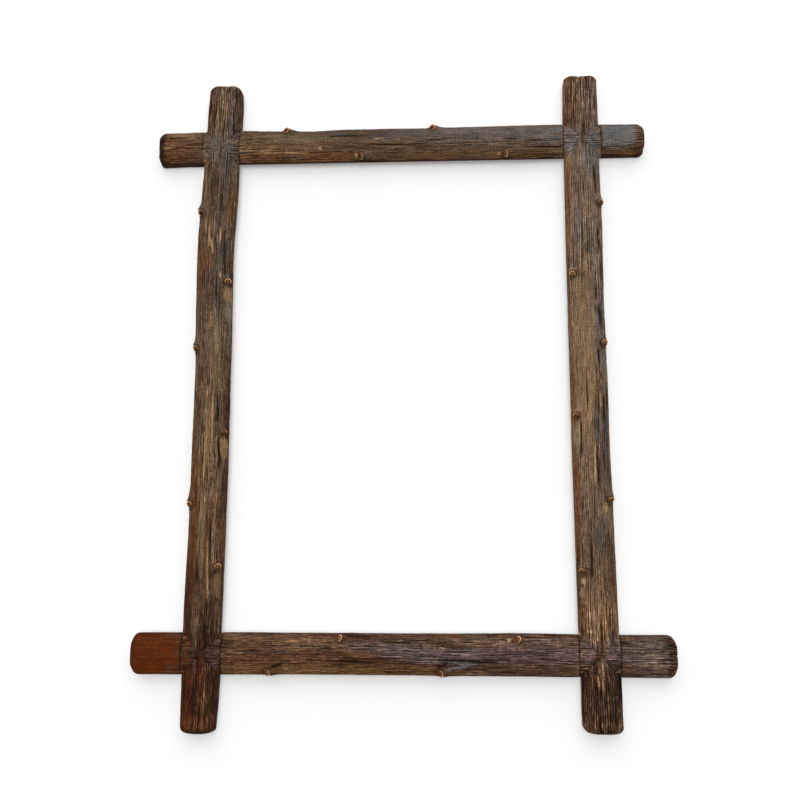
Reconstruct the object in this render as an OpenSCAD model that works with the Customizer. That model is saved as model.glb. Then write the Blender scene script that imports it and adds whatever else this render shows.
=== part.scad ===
// Picture frame of four bark-carved wooden bars that cross at the corners.
// X runs along the rails, Z up the stiles, and the carved front faces -Y.
// The origin is the centre of the top rail's back face, which lies against the wall.

/* [Picture space] */
// Width of the space behind the lip that holds the picture
picture_w = 354; // [290:1:700]
// Height of the space behind the lip that holds the picture
picture_h = 496; // [410:1:900]
// How far the lip covers the picture on each side
rebate_w = 5; // [3:0.5:7]
// Depth of the picture space, from the back
rebate_d = 8; // [5:0.5:9]

/* [Bars] */
// Width of the two rails
rail_w = 38; // [34:1:56]
// Width that the stiles are carved down to between the crossings
stile_w = 36; // [34:1:54]
// How much wider the stile's square block is than its carved length
block_extra = 3; // [0:0.5:8]
// Height of the straight side, from the back to the foot of the carving
side_h = 11.5; // [10.5:0.5:20]
// Height of the carved crown above the straight side
crown_h = 8.5; // [5:0.5:12]
// Corner radius of the bar ends, seen from the front
end_r = 8; // [2:0.5:14]
// Radius that the bar ends roll over with, seen from the side
end_roll = 6; // [1:0.5:7]

/* [Horns] */
// Left stile's length past the top rail
left_stile_top = 53; // [20:0.5:120]
// Left stile's length past the bottom rail
left_stile_foot = 54.5; // [20:0.5:120]
// Right stile's length past the top rail
right_stile_top = 55.5; // [20:0.5:120]
// Right stile's length past the bottom rail
right_stile_foot = 52; // [20:0.5:120]
// Top rail's length past the left stile
top_rail_left = 50; // [20:0.5:120]
// Top rail's length past the right stile
top_rail_right = 48; // [20:0.5:120]
// Bottom rail's length past the left stile
bottom_rail_left = 52; // [20:0.5:120]
// Bottom rail's length past the right stile
bottom_rail_right = 55.5; // [20:0.5:120]

/* [Corner joints] */
// Depth of the rail that passes behind the stile at each crossing
lap_d = 10; // [9:0.5:11]
// Gap at each side of a halving joint
joint_gap = 0.2; // [0:0.05:0.4]
// Radius of the dowel that pins each crossing from behind
dowel_r = 3; // [2:0.5:5]
// Length of the dowel
dowel_len = 15; // [12:0.5:16]
// Gap around a dowel or a knot in its hole
glue_gap = 0.05; // [0.02:0.01:0.1]

/* [Knots] */
// Radius of a knot stub
knot_r = 4; // [2.5:0.5:5]
// Length of a knot stub
knot_len = 8; // [6:0.5:9]
// How far a knot's end stands off the wood at its centre
knot_proud = 2; // [1:0.5:3]

/* [Hangers] */
// Distance of the ring's pivot below the middle of the top rail
hanger_drop = 100; // [60:5:160]
// Depth of the recess that sinks a hanger below the back
recess_d = 5.5; // [5.5:0.5:7]
// Radius of the ring's wire
wire_r = 1.2; // [0.8:0.1:1.4]
// Width of the ring, over its wire
ring_w = 16; // [14:0.5:18]
// Length of the ring's straight legs
ring_leg = 4; // [2:0.5:6]
// Width of the strap
strap_w = 9.5; // [7:0.5:10]
// Length of the strap below the pivot
strap_len = 32; // [30:1:40]
// Thickness of the strap
strap_t = 1; // [0.8:0.1:1.2]
// Radius of the screw's shank
screw_r = 1.45; // [1:0.05:1.6]
// Length of the screw below its head
screw_len = 10; // [6:0.5:11]

/* [Hidden] */
$fn = 64;
thick = side_h + crown_h;
block_w = stile_w + block_extra;
cross_x = (picture_w - 2 * rebate_w + stile_w) / 2;
rail_pitch = picture_h - 2 * rebate_w + rail_w;
mid_z = -rail_pitch / 2;
cut = 1;

// A knot is [place along the bar from the frame's middle, side, lean].
// Side 1 is the outer edge and -1 the inner part of the face.
// Lean is the angle, in degrees, that the stub leans to the left on a rail and down on a stile.
top_knots = [[-120, 1, 35], [-40, -1, 50], [36, 1, 35], [111, -1, 40]];
bottom_knots = [[-125, 1, 35], [-57, -1, 30], [40, 1, 35], [113, -1, 35]];
left_knots = [[191, 1, 40], [111, -1, 20], [43, 1, 35], [-47, -1, 50], [-115, 1, 35], [-179, -1, 20]];
right_knots = [[192, 1, 35], [115, -1, 20], [43, 1, 25], [-31, -1, 40], [-113, 1, 45], [-182, -1, 40]];
edge_tilt = 45;
face_tilt = 30;
edge_past = 0.3;
face_inset = 4.6;

pivot_h = 2.85;
wire_gap = 0.05;
loop_wall = 1;
foot_h = 1.6;
foot_len = 5;
ring_side_gap = 1.5;
ring_end_gap = 2;
strap_end_gap = 3;
recess_corner_r = 3.2;
recess_shift = 1.5;
screw_places = [16.5, 26.5];
screw_head_r = 2.8;
screw_head_h = 1.3;
screw_slot_w = 0.8;
screw_slot_d = 0.6;
hole_gap = 0.15;

loop_hole_r = wire_r + wire_gap;
loop_r = loop_hole_r + loop_wall;
leg_x = ring_w / 2 - wire_r;
pivot_y = pivot_h - recess_d;
ring_drop = ring_leg + leg_x + wire_r;

// Radius of a crown that rises crown_h over a bar w wide
function crown_radius(w) = (w * w / 4 + crown_h * crown_h) / (2 * crown_h);

// How far in front of the back the crown lies, at a distance from the bar's middle
function crown_at(w, off) = thick - crown_radius(w) + sqrt(pow(crown_radius(w), 2) - off * off);

// A bar along X from x0 to x1, w wide, with a crowned front and rounded ends
module bar_blank(x0, x1, w) {
    length = x1 - x0;
    intersection() {
        translate([x0, -thick, -w / 2])
            cube([length, thick, w]);
        translate([x0, crown_radius(w) - thick, 0])
            rotate([0, 90, 0])
                cylinder(r = crown_radius(w), h = length, $fn = 128);
        end_corners(x0, x1, w);
        end_rolls(x0, x1, w);
    }
}

// The bar's outline seen from the front, with its four corners rounded
module end_corners(x0, x1, w) {
    length = x1 - x0;
    union() {
        translate([x0 + end_r, -thick - cut, -w / 2 - cut])
            cube([length - 2 * end_r, thick + 2 * cut, w + 2 * cut]);
        translate([x0, -thick - cut, -w / 2 + end_r])
            cube([length, thick + 2 * cut, w - 2 * end_r]);
        for (x = [x0 + end_r, x1 - end_r], z = [end_r - w / 2, w / 2 - end_r])
            translate([x, cut, z])
                rotate([90, 0, 0])
                    cylinder(r = end_r, h = thick + 2 * cut);
    }
}

// The bar's outline seen from the side, with its front corners rolled over
module end_rolls(x0, x1, w) {
    length = x1 - x0;
    union() {
        translate([x0, end_roll - thick, -w / 2 - cut])
            cube([length, thick - end_roll + cut, w + 2 * cut]);
        translate([x0 + end_roll, -thick - cut, -w / 2 - cut])
            cube([length - 2 * end_roll, thick + 2 * cut, w + 2 * cut]);
        for (x = [x0 + end_roll, x1 - end_roll])
            translate([x, end_roll - thick, -w / 2 - cut])
                cylinder(r = end_roll, h = w + 2 * cut);
    }
}

// The stile's square block at a crossing, carved on to the rail's crown
module crossing_block() {
    intersection() {
        translate([-block_w / 2, -thick, -rail_w / 2])
            cube([block_w, thick - lap_d, rail_w]);
        translate([-block_w / 2, crown_radius(rail_w) - thick, 0])
            rotate([0, 90, 0])
                cylinder(r = crown_radius(rail_w), h = block_w, $fn = 128);
    }
}

// The space that the picture, its glass and its backing board fill
module picture_space() {
    translate([-picture_w / 2, -rebate_d, mid_z - picture_h / 2])
        cube([picture_w, rebate_d + cut, picture_h]);
}

module dowel(r, length) {
    rotate([90, 0, 0])
        cylinder(r = r, h = length);
}

// Puts children at each of the four crossings
module at_crossings() {
    for (x = [-cross_x, cross_x], z = [0, -rail_pitch])
        translate([x, 0, z])
            children();
}

module dowel_holes() {
    at_crossings()
        translate([0, cut, 0])
            dowel(dowel_r + glue_gap, dowel_len + cut);
}

// A knot stub or its socket on a bar along X whose outer edge is +Z
module knot_shape(w, knot, r, extra) {
    tilt = knot[1] > 0 ? edge_tilt : -face_tilt;
    off = knot[1] > 0 ? w / 2 + edge_past : face_inset - w / 2;
    rise = knot[1] > 0 ? side_h + knot_proud : crown_at(w, off) + knot_proud;
    translate([knot[0], -rise, off])
        rotate([-tilt, 0, 0])
            rotate([0, 0, -knot[2]])
                translate([0, -extra, 0])
                    rotate([-90, 0, 0])
                        cylinder(r = r, h = knot_len + extra);
}

// Turns a bar's own frame, along X with its outer edge at +Z, to its place
module as_top_rail() {
    children();
}

module as_bottom_rail() {
    translate([0, 0, -rail_pitch])
        mirror([0, 0, 1])
            children();
}

module as_right_stile() {
    translate([cross_x, 0, mid_z])
        mirror([1, 0, 0])
            rotate([0, -90, 0])
                children();
}

module as_left_stile() {
    translate([-cross_x, 0, mid_z])
        rotate([0, -90, 0])
            children();
}

module sockets(w, knots) {
    for (knot = knots)
        knot_shape(w, knot, knot_r + glue_gap, knot_len);
}

// The recess in a stile's back that sinks the hanger, from its pivot
module hanger_recess() {
    half_w = ring_w / 2 + ring_side_gap;
    top = ring_drop + ring_end_gap;
    foot = -strap_len - strap_end_gap;
    corner = recess_corner_r;
    translate([-half_w + corner, -recess_d, foot])
        cube([2 * half_w - 2 * corner, recess_d + cut, top - foot]);
    translate([-half_w, -recess_d, foot + corner])
        cube([2 * half_w, recess_d + cut, top - foot - 2 * corner]);
    for (x = [-half_w + corner, half_w - corner], z = [foot + corner, top - corner])
        translate([x, cut, z])
            rotate([90, 0, 0])
                cylinder(r = corner, h = recess_d + cut);
}

// Puts children at a hanger's pivot line, on the back of the stile on that side
module at_hanger(side) {
    translate([side * (cross_x + recess_shift), 0, -hanger_drop])
        children();
}

module screw_holes(r, length) {
    for (down = screw_places)
        translate([0, -recess_d + cut, -down])
            dowel(r, length + cut);
}

module stile_shape(side) {
    difference() {
        union() {
            children(0);
            for (z = [0, -rail_pitch])
                translate([side * cross_x, 0, z])
                    crossing_block();
        }
        for (z = [0, -rail_pitch])
            translate([side * cross_x - block_w, -lap_d, z - rail_w / 2 - joint_gap])
                cube([2 * block_w, lap_d + cut, rail_w + 2 * joint_gap]);
        picture_space();
        dowel_holes();
        children(1);
        at_hanger(side)
            hanger_recess();
        at_hanger(side)
            screw_holes(screw_r + glue_gap, screw_len);
    }
}

module left_stile() {
    color("#5a4a3a")
        stile_shape(-1) {
            as_left_stile()
                bar_blank(mid_z - rail_w / 2 - left_stile_foot, rail_w / 2 + left_stile_top - mid_z, stile_w);
            as_left_stile()
                sockets(stile_w, left_knots);
        }
}

module right_stile() {
    color("#6b5d50")
        stile_shape(1) {
            as_right_stile()
                bar_blank(mid_z - rail_w / 2 - right_stile_foot, rail_w / 2 + right_stile_top - mid_z, stile_w);
            as_right_stile()
                sockets(stile_w, right_knots);
        }
}

module rail_shape() {
    difference() {
        children(0);
        for (x = [-cross_x, cross_x], z = [0, -rail_pitch])
            translate([x - block_w / 2 - joint_gap, -thick - cut, z - rail_w])
                cube([block_w + 2 * joint_gap, thick - lap_d + cut, 2 * rail_w]);
        picture_space();
        dowel_holes();
        children(1);
    }
}

module top_rail() {
    color("#54483e")
        rail_shape() {
            as_top_rail()
                bar_blank(-cross_x - stile_w / 2 - top_rail_left, cross_x + stile_w / 2 + top_rail_right, rail_w);
            as_top_rail()
                sockets(rail_w, top_knots);
        }
}

module bottom_rail() {
    color("#5e3f2e")
        rail_shape() {
            as_bottom_rail()
                bar_blank(-cross_x - stile_w / 2 - bottom_rail_left, cross_x + stile_w / 2 + bottom_rail_right, rail_w);
            as_bottom_rail()
                sockets(rail_w, bottom_knots);
        }
}

module knot_stub(w, knot) {
    color("#a88a5e")
        knot_shape(w, knot, knot_r, 0);
}

module corner_dowels() {
    color("#c8a878")
        at_crossings()
            dowel(dowel_r, dowel_len);
}

// The strap lies on the recess's floor and folds into a loop round the ring's bar
module hanger_strap(side) {
    end_z = -strap_len + strap_w / 2;
    color("#b08d4a")
        at_hanger(side)
            difference() {
                union() {
                    translate([-strap_w / 2, -recess_d, end_z])
                        cube([strap_w, strap_t, -end_z]);
                    translate([0, -recess_d + strap_t, end_z])
                        dowel(strap_w / 2, strap_t);
                    translate([-strap_w / 2, -recess_d, -foot_len])
                        cube([strap_w, foot_h, foot_len]);
                    translate([-strap_w / 2, pivot_y, 0])
                        rotate([0, 90, 0])
                            cylinder(r = loop_r, h = strap_w);
                }
                translate([-strap_w / 2 - cut, pivot_y, 0])
                    rotate([0, 90, 0])
                        cylinder(r = loop_hole_r, h = strap_w + 2 * cut);
                screw_holes(screw_r + hole_gap, 0);
            }
}

// A wire ring with a straight bar through the loop, hanging straight down
module hanger_ring(side) {
    color("#b08d4a")
        at_hanger(side)
            translate([0, pivot_y, 0]) {
                translate([-leg_x, 0, 0])
                    rotate([0, 90, 0])
                        cylinder(r = wire_r, h = 2 * leg_x);
                for (x = [-leg_x, leg_x]) {
                    translate([x, 0, 0])
                        sphere(r = wire_r + wire_gap);
                    translate([x, 0, -ring_leg])
                        cylinder(r = wire_r, h = ring_leg);
                }
                translate([0, 0, -ring_leg])
                    rotate([90, 0, 0])
                        rotate([0, 0, 180])
                            rotate_extrude(angle = 180)
                                translate([leg_x, 0, 0])
                                    circle(r = wire_r);
            }
}

module hanger_screws() {
    color("#b08d4a")
        for (side = [-1, 1], down = screw_places)
            at_hanger(side)
                translate([0, strap_t - recess_d, -down])
                    difference() {
                        union() {
                            translate([0, screw_head_h, 0])
                                dowel(screw_head_r, screw_head_h);
                            dowel(screw_r, screw_len);
                        }
                        translate([-screw_head_r - cut, screw_head_h - screw_slot_d, -screw_slot_w / 2])
                            cube([2 * screw_head_r + 2 * cut, screw_slot_d + cut, screw_slot_w]);
                    }
}

left_stile();
right_stile();
top_rail();
bottom_rail();
for (i = [0:3]) {
    as_top_rail() knot_stub(rail_w, top_knots[i]);
    as_bottom_rail() knot_stub(rail_w, bottom_knots[i]);
}
for (i = [0:5]) {
    as_left_stile() knot_stub(stile_w, left_knots[i]);
    as_right_stile() knot_stub(stile_w, right_knots[i]);
}
corner_dowels();
hanger_strap(-1);  // left_hanger_strap
hanger_strap(1);  // right_hanger_strap
hanger_ring(-1);  // left_hanger_ring
hanger_ring(1);  // right_hanger_ring
hanger_screws();
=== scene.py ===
"""Wooden picture frame: four bark-carved bars that cross at lapped corners, twig knots and ring hangers."""

import math
from collections import namedtuple

import bpy
import numpy as np
from mathutils import Matrix, Vector


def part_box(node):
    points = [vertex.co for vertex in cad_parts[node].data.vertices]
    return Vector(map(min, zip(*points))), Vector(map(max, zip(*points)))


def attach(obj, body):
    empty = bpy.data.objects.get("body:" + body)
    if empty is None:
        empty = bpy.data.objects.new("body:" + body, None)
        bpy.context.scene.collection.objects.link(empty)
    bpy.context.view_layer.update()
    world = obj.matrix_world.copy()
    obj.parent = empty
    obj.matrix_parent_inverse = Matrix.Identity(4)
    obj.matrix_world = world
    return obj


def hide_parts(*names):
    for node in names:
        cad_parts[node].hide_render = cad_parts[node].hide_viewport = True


bl_info = {
    "name": "Crossed-corner wooden frame",
    "version": (1, 0, 0),
    "blender": (4, 5, 0),
    "location": "3D View > Sidebar > Wooden Frame",
    "description": "Builds the bark-carved bars, the twig knots and the finishes of a crossed-corner frame",
    "category": "Object",
}

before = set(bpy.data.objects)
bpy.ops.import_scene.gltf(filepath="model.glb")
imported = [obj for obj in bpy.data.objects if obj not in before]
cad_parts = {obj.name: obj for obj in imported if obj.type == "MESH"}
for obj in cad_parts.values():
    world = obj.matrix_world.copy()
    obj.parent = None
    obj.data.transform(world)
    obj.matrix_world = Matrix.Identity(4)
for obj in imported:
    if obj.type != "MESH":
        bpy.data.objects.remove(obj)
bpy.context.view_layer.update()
MM = 0.001


def linear(text):
    """An sRGB hex colour as linear red, green and blue."""
    parts = [int(text[i : i + 2], 16) / 255 for i in (1, 3, 5)]
    return [c / 12.92 if c <= 0.04045 else ((c + 0.055) / 1.055) ** 2.4 for c in parts]


# Sizes that the CAD gives, in millimetres

TOP_LOW, TOP_HIGH = (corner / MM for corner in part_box("top_rail"))
BASE_LOW, BASE_HIGH = (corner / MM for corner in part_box("bottom_rail"))
LEFT_LOW, LEFT_HIGH = (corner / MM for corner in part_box("left_stile"))
RIGHT_LOW, RIGHT_HIGH = (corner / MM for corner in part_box("right_stile"))
RAIL_PITCH = (TOP_LOW.z + TOP_HIGH.z - BASE_LOW.z - BASE_HIGH.z) / 2
MID_Z = -RAIL_PITCH / 2
CROSS_X = (RIGHT_LOW.x + RIGHT_HIGH.x - LEFT_LOW.x - LEFT_HIGH.x) / 4
BLOCK_WIDTH = LEFT_HIGH.x - LEFT_LOW.x
THICK = -TOP_LOW.y
STILES = ("left_stile", "right_stile")
RAILS = ("top_rail", "bottom_rail")

# Sizes that repeat the CAD source's, in millimetres: the gap at each side of a halving joint, the glue gap
# round a dowel or knot, the dowels, and the hangers' recesses and pilot holes, from their ring's hinge down
LAP_GAP = 0.2
GLUE_GAP = 0.05
DOWEL_RADIUS = 3
DOWEL_DEPTH = 15
HANGER_X = CROSS_X + 1.5
HINGE_Z = -100
RECESS_FOOT = HINGE_Z - 35
RECESS_TOP = HINGE_Z + 14
RECESS_HALF = 9.5
RECESS_DEPTH = 5.5
RECESS_CORNER = 3.2
SCREW_DROPS = (16.5, 26.5)
PILOT_RADIUS = 1.5
PILOT_DEPTH = 15.5
# A cutter starts this far outside the wood, and one that crosses a bar reaches this far to each side
PAST = 1
CLEAR = 30
# The end radius that the bars' own figures were taken at, and how far an edge knot leans to the front
END_RADIUS = 8
KNOT_TILT = 30

# A bar's section has this many points across its crown, and points at these shares of each side's height
# and of each half of its back. The crown's first and last point come after one side's.
CROWN_POINTS = 84
SIDE_SHARES = np.array([0.94, 0.84, 0.73, 0.62, 0.51, 0.4, 0.29, 0.17, 0.06])
BACK_SHARES = np.array([0.96, 0.75, 0.5, 0.25, 0])
CROWN_FIRST = len(SIDE_SHARES) + len(BACK_SHARES)
CROWN_LAST = CROWN_FIRST + CROWN_POINTS - 1
ON_CROWN = 2.0

# Side is 1 on the outer edge and -1 on the inner part of the face. Lean is in degrees, ramp is how long the
# bark's run up to the knot is, dark how dark its end is, shift how far outwards it sits, and nod how many
# degrees it leans back over the bar.
Knot = namedtuple("Knot", "along side lean ramp dark shift nod")
# A scar is a bare patch, a ridge a pale splinter and a crack a dark split, and half is half its width.
Mark = namedtuple("Mark", "kind along across to_along to_across half colour")

# Each bar is worked along its own X, measured from the middle of the frame. C runs across it, towards its
# outer edge, and its front looks along -Y. In each pair of figures, the first is for the bar's low end.
# Outer and inner round are the radii of an end's corners, and bulge is how far its middle stands out past
# them. Rim says how dark an end's rim is, rim depth how far that goes, and nick how deep it is nicked.
# Lift says how much paler the glaze is at the inner edge, middle and outer edge. On the rails it is partly
# painted light: the edge that faces down is painted paler against the shade it gets from the lamp above.
# Streaks say how strong the long tan, slate and ochre streaks are, dashes how much paler the short pale ones
# are, and side the sides' colour. Bold says how much more boldly than the rest a stile's upper and lower end
# are carved.
# An edge is a list of (along, mm proud of straight). A stain is (along, across, half length, half width,
# colour, strength), and a calm place, which loses its grooves, is the same without a colour.

BARS = {
    "left_stile": {
        "seed": 11,
        "ends": (LEFT_LOW.z - MID_Z, LEFT_HIGH.z - MID_Z - 1.7),
        "base": "bark", "lift": (1.02, 1.07, 0.97),
        "outer_round": (6, 4.5), "inner_round": (4.5, 6), "bulge": (1.2, -0.2),
        "rim": (0.6, 0.4), "rim_depth": (6, 6), "nick": (1.0, 0.4),
        "streaks": (0.3, 0.3, 0.3), "dashes": 0.5, "bold": (0.85, 0.6), "side": "umber",
        "knots": [
            (189.4, 1, 40, 12, 0.9, 1.2, 0), (111, -1, 20, 8, 0.1, 0.6, 0),
            (41.8, 1, 35, 14, 0.7, -0.1, 0), (-45.8, -1, 50, 13, 0.5, -0.7, 0),
            (-117.5, 1, 35, 20, 0.3, -0.8, 0), (-179, -1, 20, 8, 0.3, 0, 0),
        ],
        "outer": [
            (-336, 0.6), (-300, 0.6), (-285, 1.1), (-210, 1.7), (-150, 0.6), (25, 0.5), (60, 2.1),
            (100, 3.2), (150, 4), (175, 3.3), (210, 1.2), (240, 0.8), (285, -1.1), (310, -1.6),
            (334, -3.2),
        ],
        "inner": [
            (-336, -4), (-315, -2.4), (-285, -1.5), (-210, 0.1), (-75, 0.5), (25, -0.4), (60, -0.9),
            (150, -2), (180, -0.8), (210, 0.6), (240, 0.8), (285, 0.8), (315, 1.7), (334, 0.5),
        ],
        "stains": [
            (0, -17, 330, 4, "umber", 0.5), (-60, -18.5, 90, 3.5, "oxblood", 0.6),
            (235, 15, 32, 6, "tan", 0.6), (300, 3, 40, 6, "tan", 0.55), (300, -11, 45, 6, "umber", 0.7),
            (262, 0, 16, 20, "grey", 0.6), (284, -9, 15, 6, "slate", 0.7), (222, -6, 20, 6, "slate", 0.5),
            (240, -4, 12, 4, "slate", 0.6), (205, 3, 32, 8, "umber", 0.6),
            (231, -15, 10, 2.5, "straw", 0.7), (133, 8, 14, 5, "chestnut", 0.7),
            (148, -9, 22, 4, "slate", 0.7), (125, -3, 60, 3.5, "slate", 0.6),
            (178, -2, 30, 5, "slate", 0.45), (238, -12, 20, 7, "slate", 0.6),
            (195, -14, 22, 4, "ochre", 0.8), (160, 8, 20, 4, "tan", 0.6),
            (135, 18, 40, 6, "chestnut", 0.8), (112, 6, 30, 8, "umber", 0.45), (-20, 0, 90, 9, "tan", 0.5),
            (60, -13, 50, 5, "olive", 0.35), (-40, 17, 100, 6, "ochre", 0.6),
            (-185, 9, 50, 14, "russet", 0.5), (-120, 14, 70, 7, "chestnut", 0.7),
            (-170, 0, 70, 24, "chestnut", 0.55), (-190, -2, 60, 20, "oxblood", 0.2),
            (305, 14, 45, 6, "chestnut", 0.6), (300, -13, 45, 7, "plum", 0.6),
            (300, -17, 45, 4, "oxblood", 0.6), (-155, 2.5, 55, 2.6, "olive", 0.75),
            (-155, -8, 28, 2.2, "olive", 0.7), (-225, 0, 45, 26, "umber", 0.75),
            (-300, 0, 70, 34, "oxblood", 0.95), (-300, 0, 60, 34, "soot", 0.82),
            (-300, -4, 40, 3, "chestnut", 0.4), (-325, 0, 9, 20, "chestnut", 0.5),
            (-215, 13, 60, 9, "oxblood", 0.6), (-262, 0, 22, 22, "oxblood", 0.75),
            (-262, 2, 20, 22, "soot", 0.3), (-288, -2, 24, 2.5, "russet", 0.25),
            (-262, -12, 14, 7, "plum", 0.2), (-266, 11, 18, 9, "umber", 0.45),
            (-226, 7, 22, 3.5, "tan", 0.35), (-225, 16, 60, 4, "russet", 0.3),
            (-302, 13, 48, 8, "russet", 0.4),
        ],
        "calm": [
            (-225, 14, 50, 8, 0.4), (-300, 12, 42, 10, 0.4), (-180, 14, 60, 8, 0.6), (-155, 0, 50, 7, 0.5),
            (40, -4, 40, 5, 0.6),
        ],
        "marks": [
            ("scar", 184, 13, 172, 12, 1.8, "tan"), ("ridge", 178, 13, 166, 12.5, 0.7, "straw"),
            ("ridge", 150, 4, 140, 4, 0.6, "straw"), ("ridge", 162, -0.5, 152, -0.5, 0.5, "straw"),
            ("scar", 109, -12, 86, -13.5, 3.7, "straw"), ("scar", 92, -13, 70, -14.5, 3.2, "olive"),
            ("scar", 121, -5, 116, -5, 1.4, "pale"), ("scar", 72, -3, 30, -4.6, 2.3, "olive"),
            ("scar", -49, -13.5, -73, -15.5, 3.8, "straw"), ("crack", -50, -9.5, -84, -11.5, 1.1, "soot"),
            ("scar", -183, -13, -208, -14, 3.5, "tan"), ("ridge", -98, 4, -172, 7.5, 0.9, "tan"),
            ("ridge", -150, -2.6, -212, -5.2, 0.9, "straw"), ("crack", -130, -5.2, -172, -6, 0.9, "soot"),
            ("ridge", -50, 3, -98, 4, 0.7, "straw"), ("ridge", -2, -2.5, -63, -3, 0.8, "straw"),
            ("crack", -8, -7.5, -38, -8.5, 1.1, "slate"), ("ridge", 174, 8, 150, 8, 0.9, "straw"),
            ("ridge", 158, 5.5, 148, 5.5, 0.9, "pale"), ("ridge", 172, -3.5, 148, -3.5, 0.9, "straw"),
            ("crack", 168, -8, 110, -8.5, 0.8, "slate"), ("ridge", 241, 15, 247, 12, 0.6, "tan"),
            ("ridge", 240, -17, 245, -14, 0.7, "straw"),
        ],
    },
    "right_stile": {
        "seed": 23,
        "ends": (RIGHT_LOW.z - MID_Z, RIGHT_HIGH.z - MID_Z - 1.7),
        "base": "drift", "lift": (1.35, 1.25, 1.15),
        "outer_round": (5, 3.5), "inner_round": (8, 4), "bulge": (0.8, -0.2),
        "rim": (0.8, 0.7), "rim_depth": (6, 7), "nick": (1.3, 1.3),
        "streaks": (0.3, 0.35, 0.25), "dashes": 0.2, "bold": (0.85, 1.15), "side": "umber",
        "knots": [
            (192, 1, 35, 10, 0.8, -1.6, 0), (114.2, -1, 20, 6, 0.2, -0.9, 0),
            (42.5, 1, 25, 12, 0.3, -3.1, 0), (-31, -1, 40, 8, 0.5, -1.4, 0),
            (-114.3, 1, 45, 16, 0.2, -2.6, 0), (-182.7, -1, 40, 8, 0.2, -0.5, 0),
        ],
        "outer": [
            (-334, 1.8), (-285, 2), (-240, 1), (-150, 0.3), (-60, -0.7), (0, -0.2), (50, -1), (100, -0.8),
            (160, 0.2), (220, -0.3), (285, 0), (337, -0.3),
        ],
        "inner": [
            (-334, -1.2), (-318, -0.2), (-300, -0.4), (-285, -0.8), (-240, 1.1), (-150, 1.5), (-60, 1.8),
            (60, 1.5), (180, 1.3), (240, 0.6), (285, 0.2), (315, -0.8), (337, -1.4),
        ],
        "stains": [
            (130, 11, 70, 6, "grey", 0.6), (165, -8, 35, 6, "grey", 0.55), (25, -6, 95, 12, "tan", 0.75),
            (200, -14, 60, 4, "tan", 0.6), (60, 11, 28, 5, "slate", 0.6), (-20, 12, 60, 6, "umber", 0.2),
            (-42, 4, 16, 3.2, "slate", 0.85), (-75, 14, 60, 4.5, "slate", 0.6),
            (-80, 10, 28, 7.5, "umber", 0.3), (-128, 12, 15, 4, "olive", 0.7),
            (-150, 7, 20, 6, "slate", 0.65), (-178, 13, 28, 5, "umber", 0.75),
            (210, -18.5, 110, 3.5, "chestnut", 0.8), (-60, -18.5, 140, 3.8, "chestnut", 0.8),
            (-120, -16, 50, 4, "russet", 0.4), (-215, 1, 45, 9, "tan", 0.45),
            (-225, -17, 60, 4, "oxblood", 0.7), (262, 13, 17, 10, "steel", 0.85),
            (262, -12, 17, 9, "frost", 0.6), (240, 8, 24, 8, "steel", 0.5),
            (-236, 0, 34, 11, "straw", 0.5), (-215, 14, 40, 5, "chestnut", 0.5),
            (-262, 0, 16, 18, "plum", 0.6), (-300, 0, 60, 34, "cocoa", 0.8),
            (-300, -12, 40, 9, "oxblood", 0.6), (-300, 6, 40, 8, "umber", 0.8),
            (-300, 0, 60, 34, "soot", 0.74), (-256, 12, 13, 8, "plum", 0.55),
            (-256, -12, 13, 8, "plum", 0.55), (-280, 0, 15, 3.5, "straw", 0.35),
            (-215, -4, 45, 16, "chestnut", 0.3), (-165, 0, 60, 26, "umber", 0.3),
            (305, 0, 45, 30, "umber", 0.35), (305, -13, 45, 7, "russet", 0.4),
            (300, 12, 45, 8, "plum", 0.45),
        ],
        "calm": [
            (20, -4, 110, 12, 0.45), (-50, -14, 30, 4, 0.6), (-130, 12, 14, 4, 0.6),
        ],
        "marks": [
            ("crack", 104, 8.8, 84, 8.2, 1.2, "slate"), ("crack", 84, 10.5, 58, 11.5, 0.9, "soot"),
            ("crack", 38, 8.5, 18, 9.5, 1.1, "soot"), ("scar", 34, 12, 8, 13, 2.6, "grey"),
            ("scar", 158, 14, 153, 14, 1.0, "pale"), ("crack", 8, -4.5, -30, -4, 0.7, "umber"),
            ("crack", 235, 10.5, 200, 12.5, 1.2, "soot"), ("crack", 165, 12.5, 140, 14, 1.3, "soot"),
            ("scar", -34, -14, -66, -15, 3.5, "olive"), ("crack", -34, -10.8, -74, -12, 1.0, "umber"),
            ("ridge", -38, -12.6, -62, -13, 0.5, "straw"), ("scar", -118, 10, -127, 10.5, 2.6, "straw"),
            ("scar", -190, -14, -195, -13.5, 2.2, "pale"), ("scar", -198, -15, -208, -15, 2.4, "olive"),
            ("ridge", -58, 1.6, -100, 0.8, 1.2, "straw"), ("crack", -58, 3.8, -104, 3.4, 0.9, "soot"),
            ("ridge", -8, 8.5, -24, 9, 0.9, "straw"), ("crack", -10, 13, -38, 11, 1.0, "soot"),
            ("crack", -150, -5, -190, -5.5, 0.9, "oxblood"), ("scar", 244, -18, 245, -17, 0.8, "pale"),
            ("scar", 241, -19, 239, -19, 0.7, "straw"), ("scar", 243, 18, 244, 17.5, 0.6, "pale"),
            ("scar", -240, -18.5, -243, -17.5, 1.0, "straw"), ("scar", -240, 18.5, -243, 17, 1.3, "pale"),
            ("scar", -260, -18.7, -266, -18.7, 1.3, "tan"),
        ],
    },
    "top_rail": {
        "seed": 37,
        "ends": (TOP_LOW.x + 1, TOP_HIGH.x - 1),
        "base": "bark", "lift": (1.3, 1.1, 0.97),
        "outer_round": (6, 8), "inner_round": (5, 7), "bulge": (0.4, 1.0),
        "rim": (0.9, 0.6), "rim_depth": (9, 12), "nick": (0.8, 0.3),
        "streaks": (0.3, 0.25, 0.3), "dashes": 0.1, "bold": (0, 0), "side": "oxblood",
        "knots": [
            (-120.6, 1, 30, 14, 0.7, -1.7, 18), (-40.3, -1, 48, 13, 0.1, 0, 0),
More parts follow.
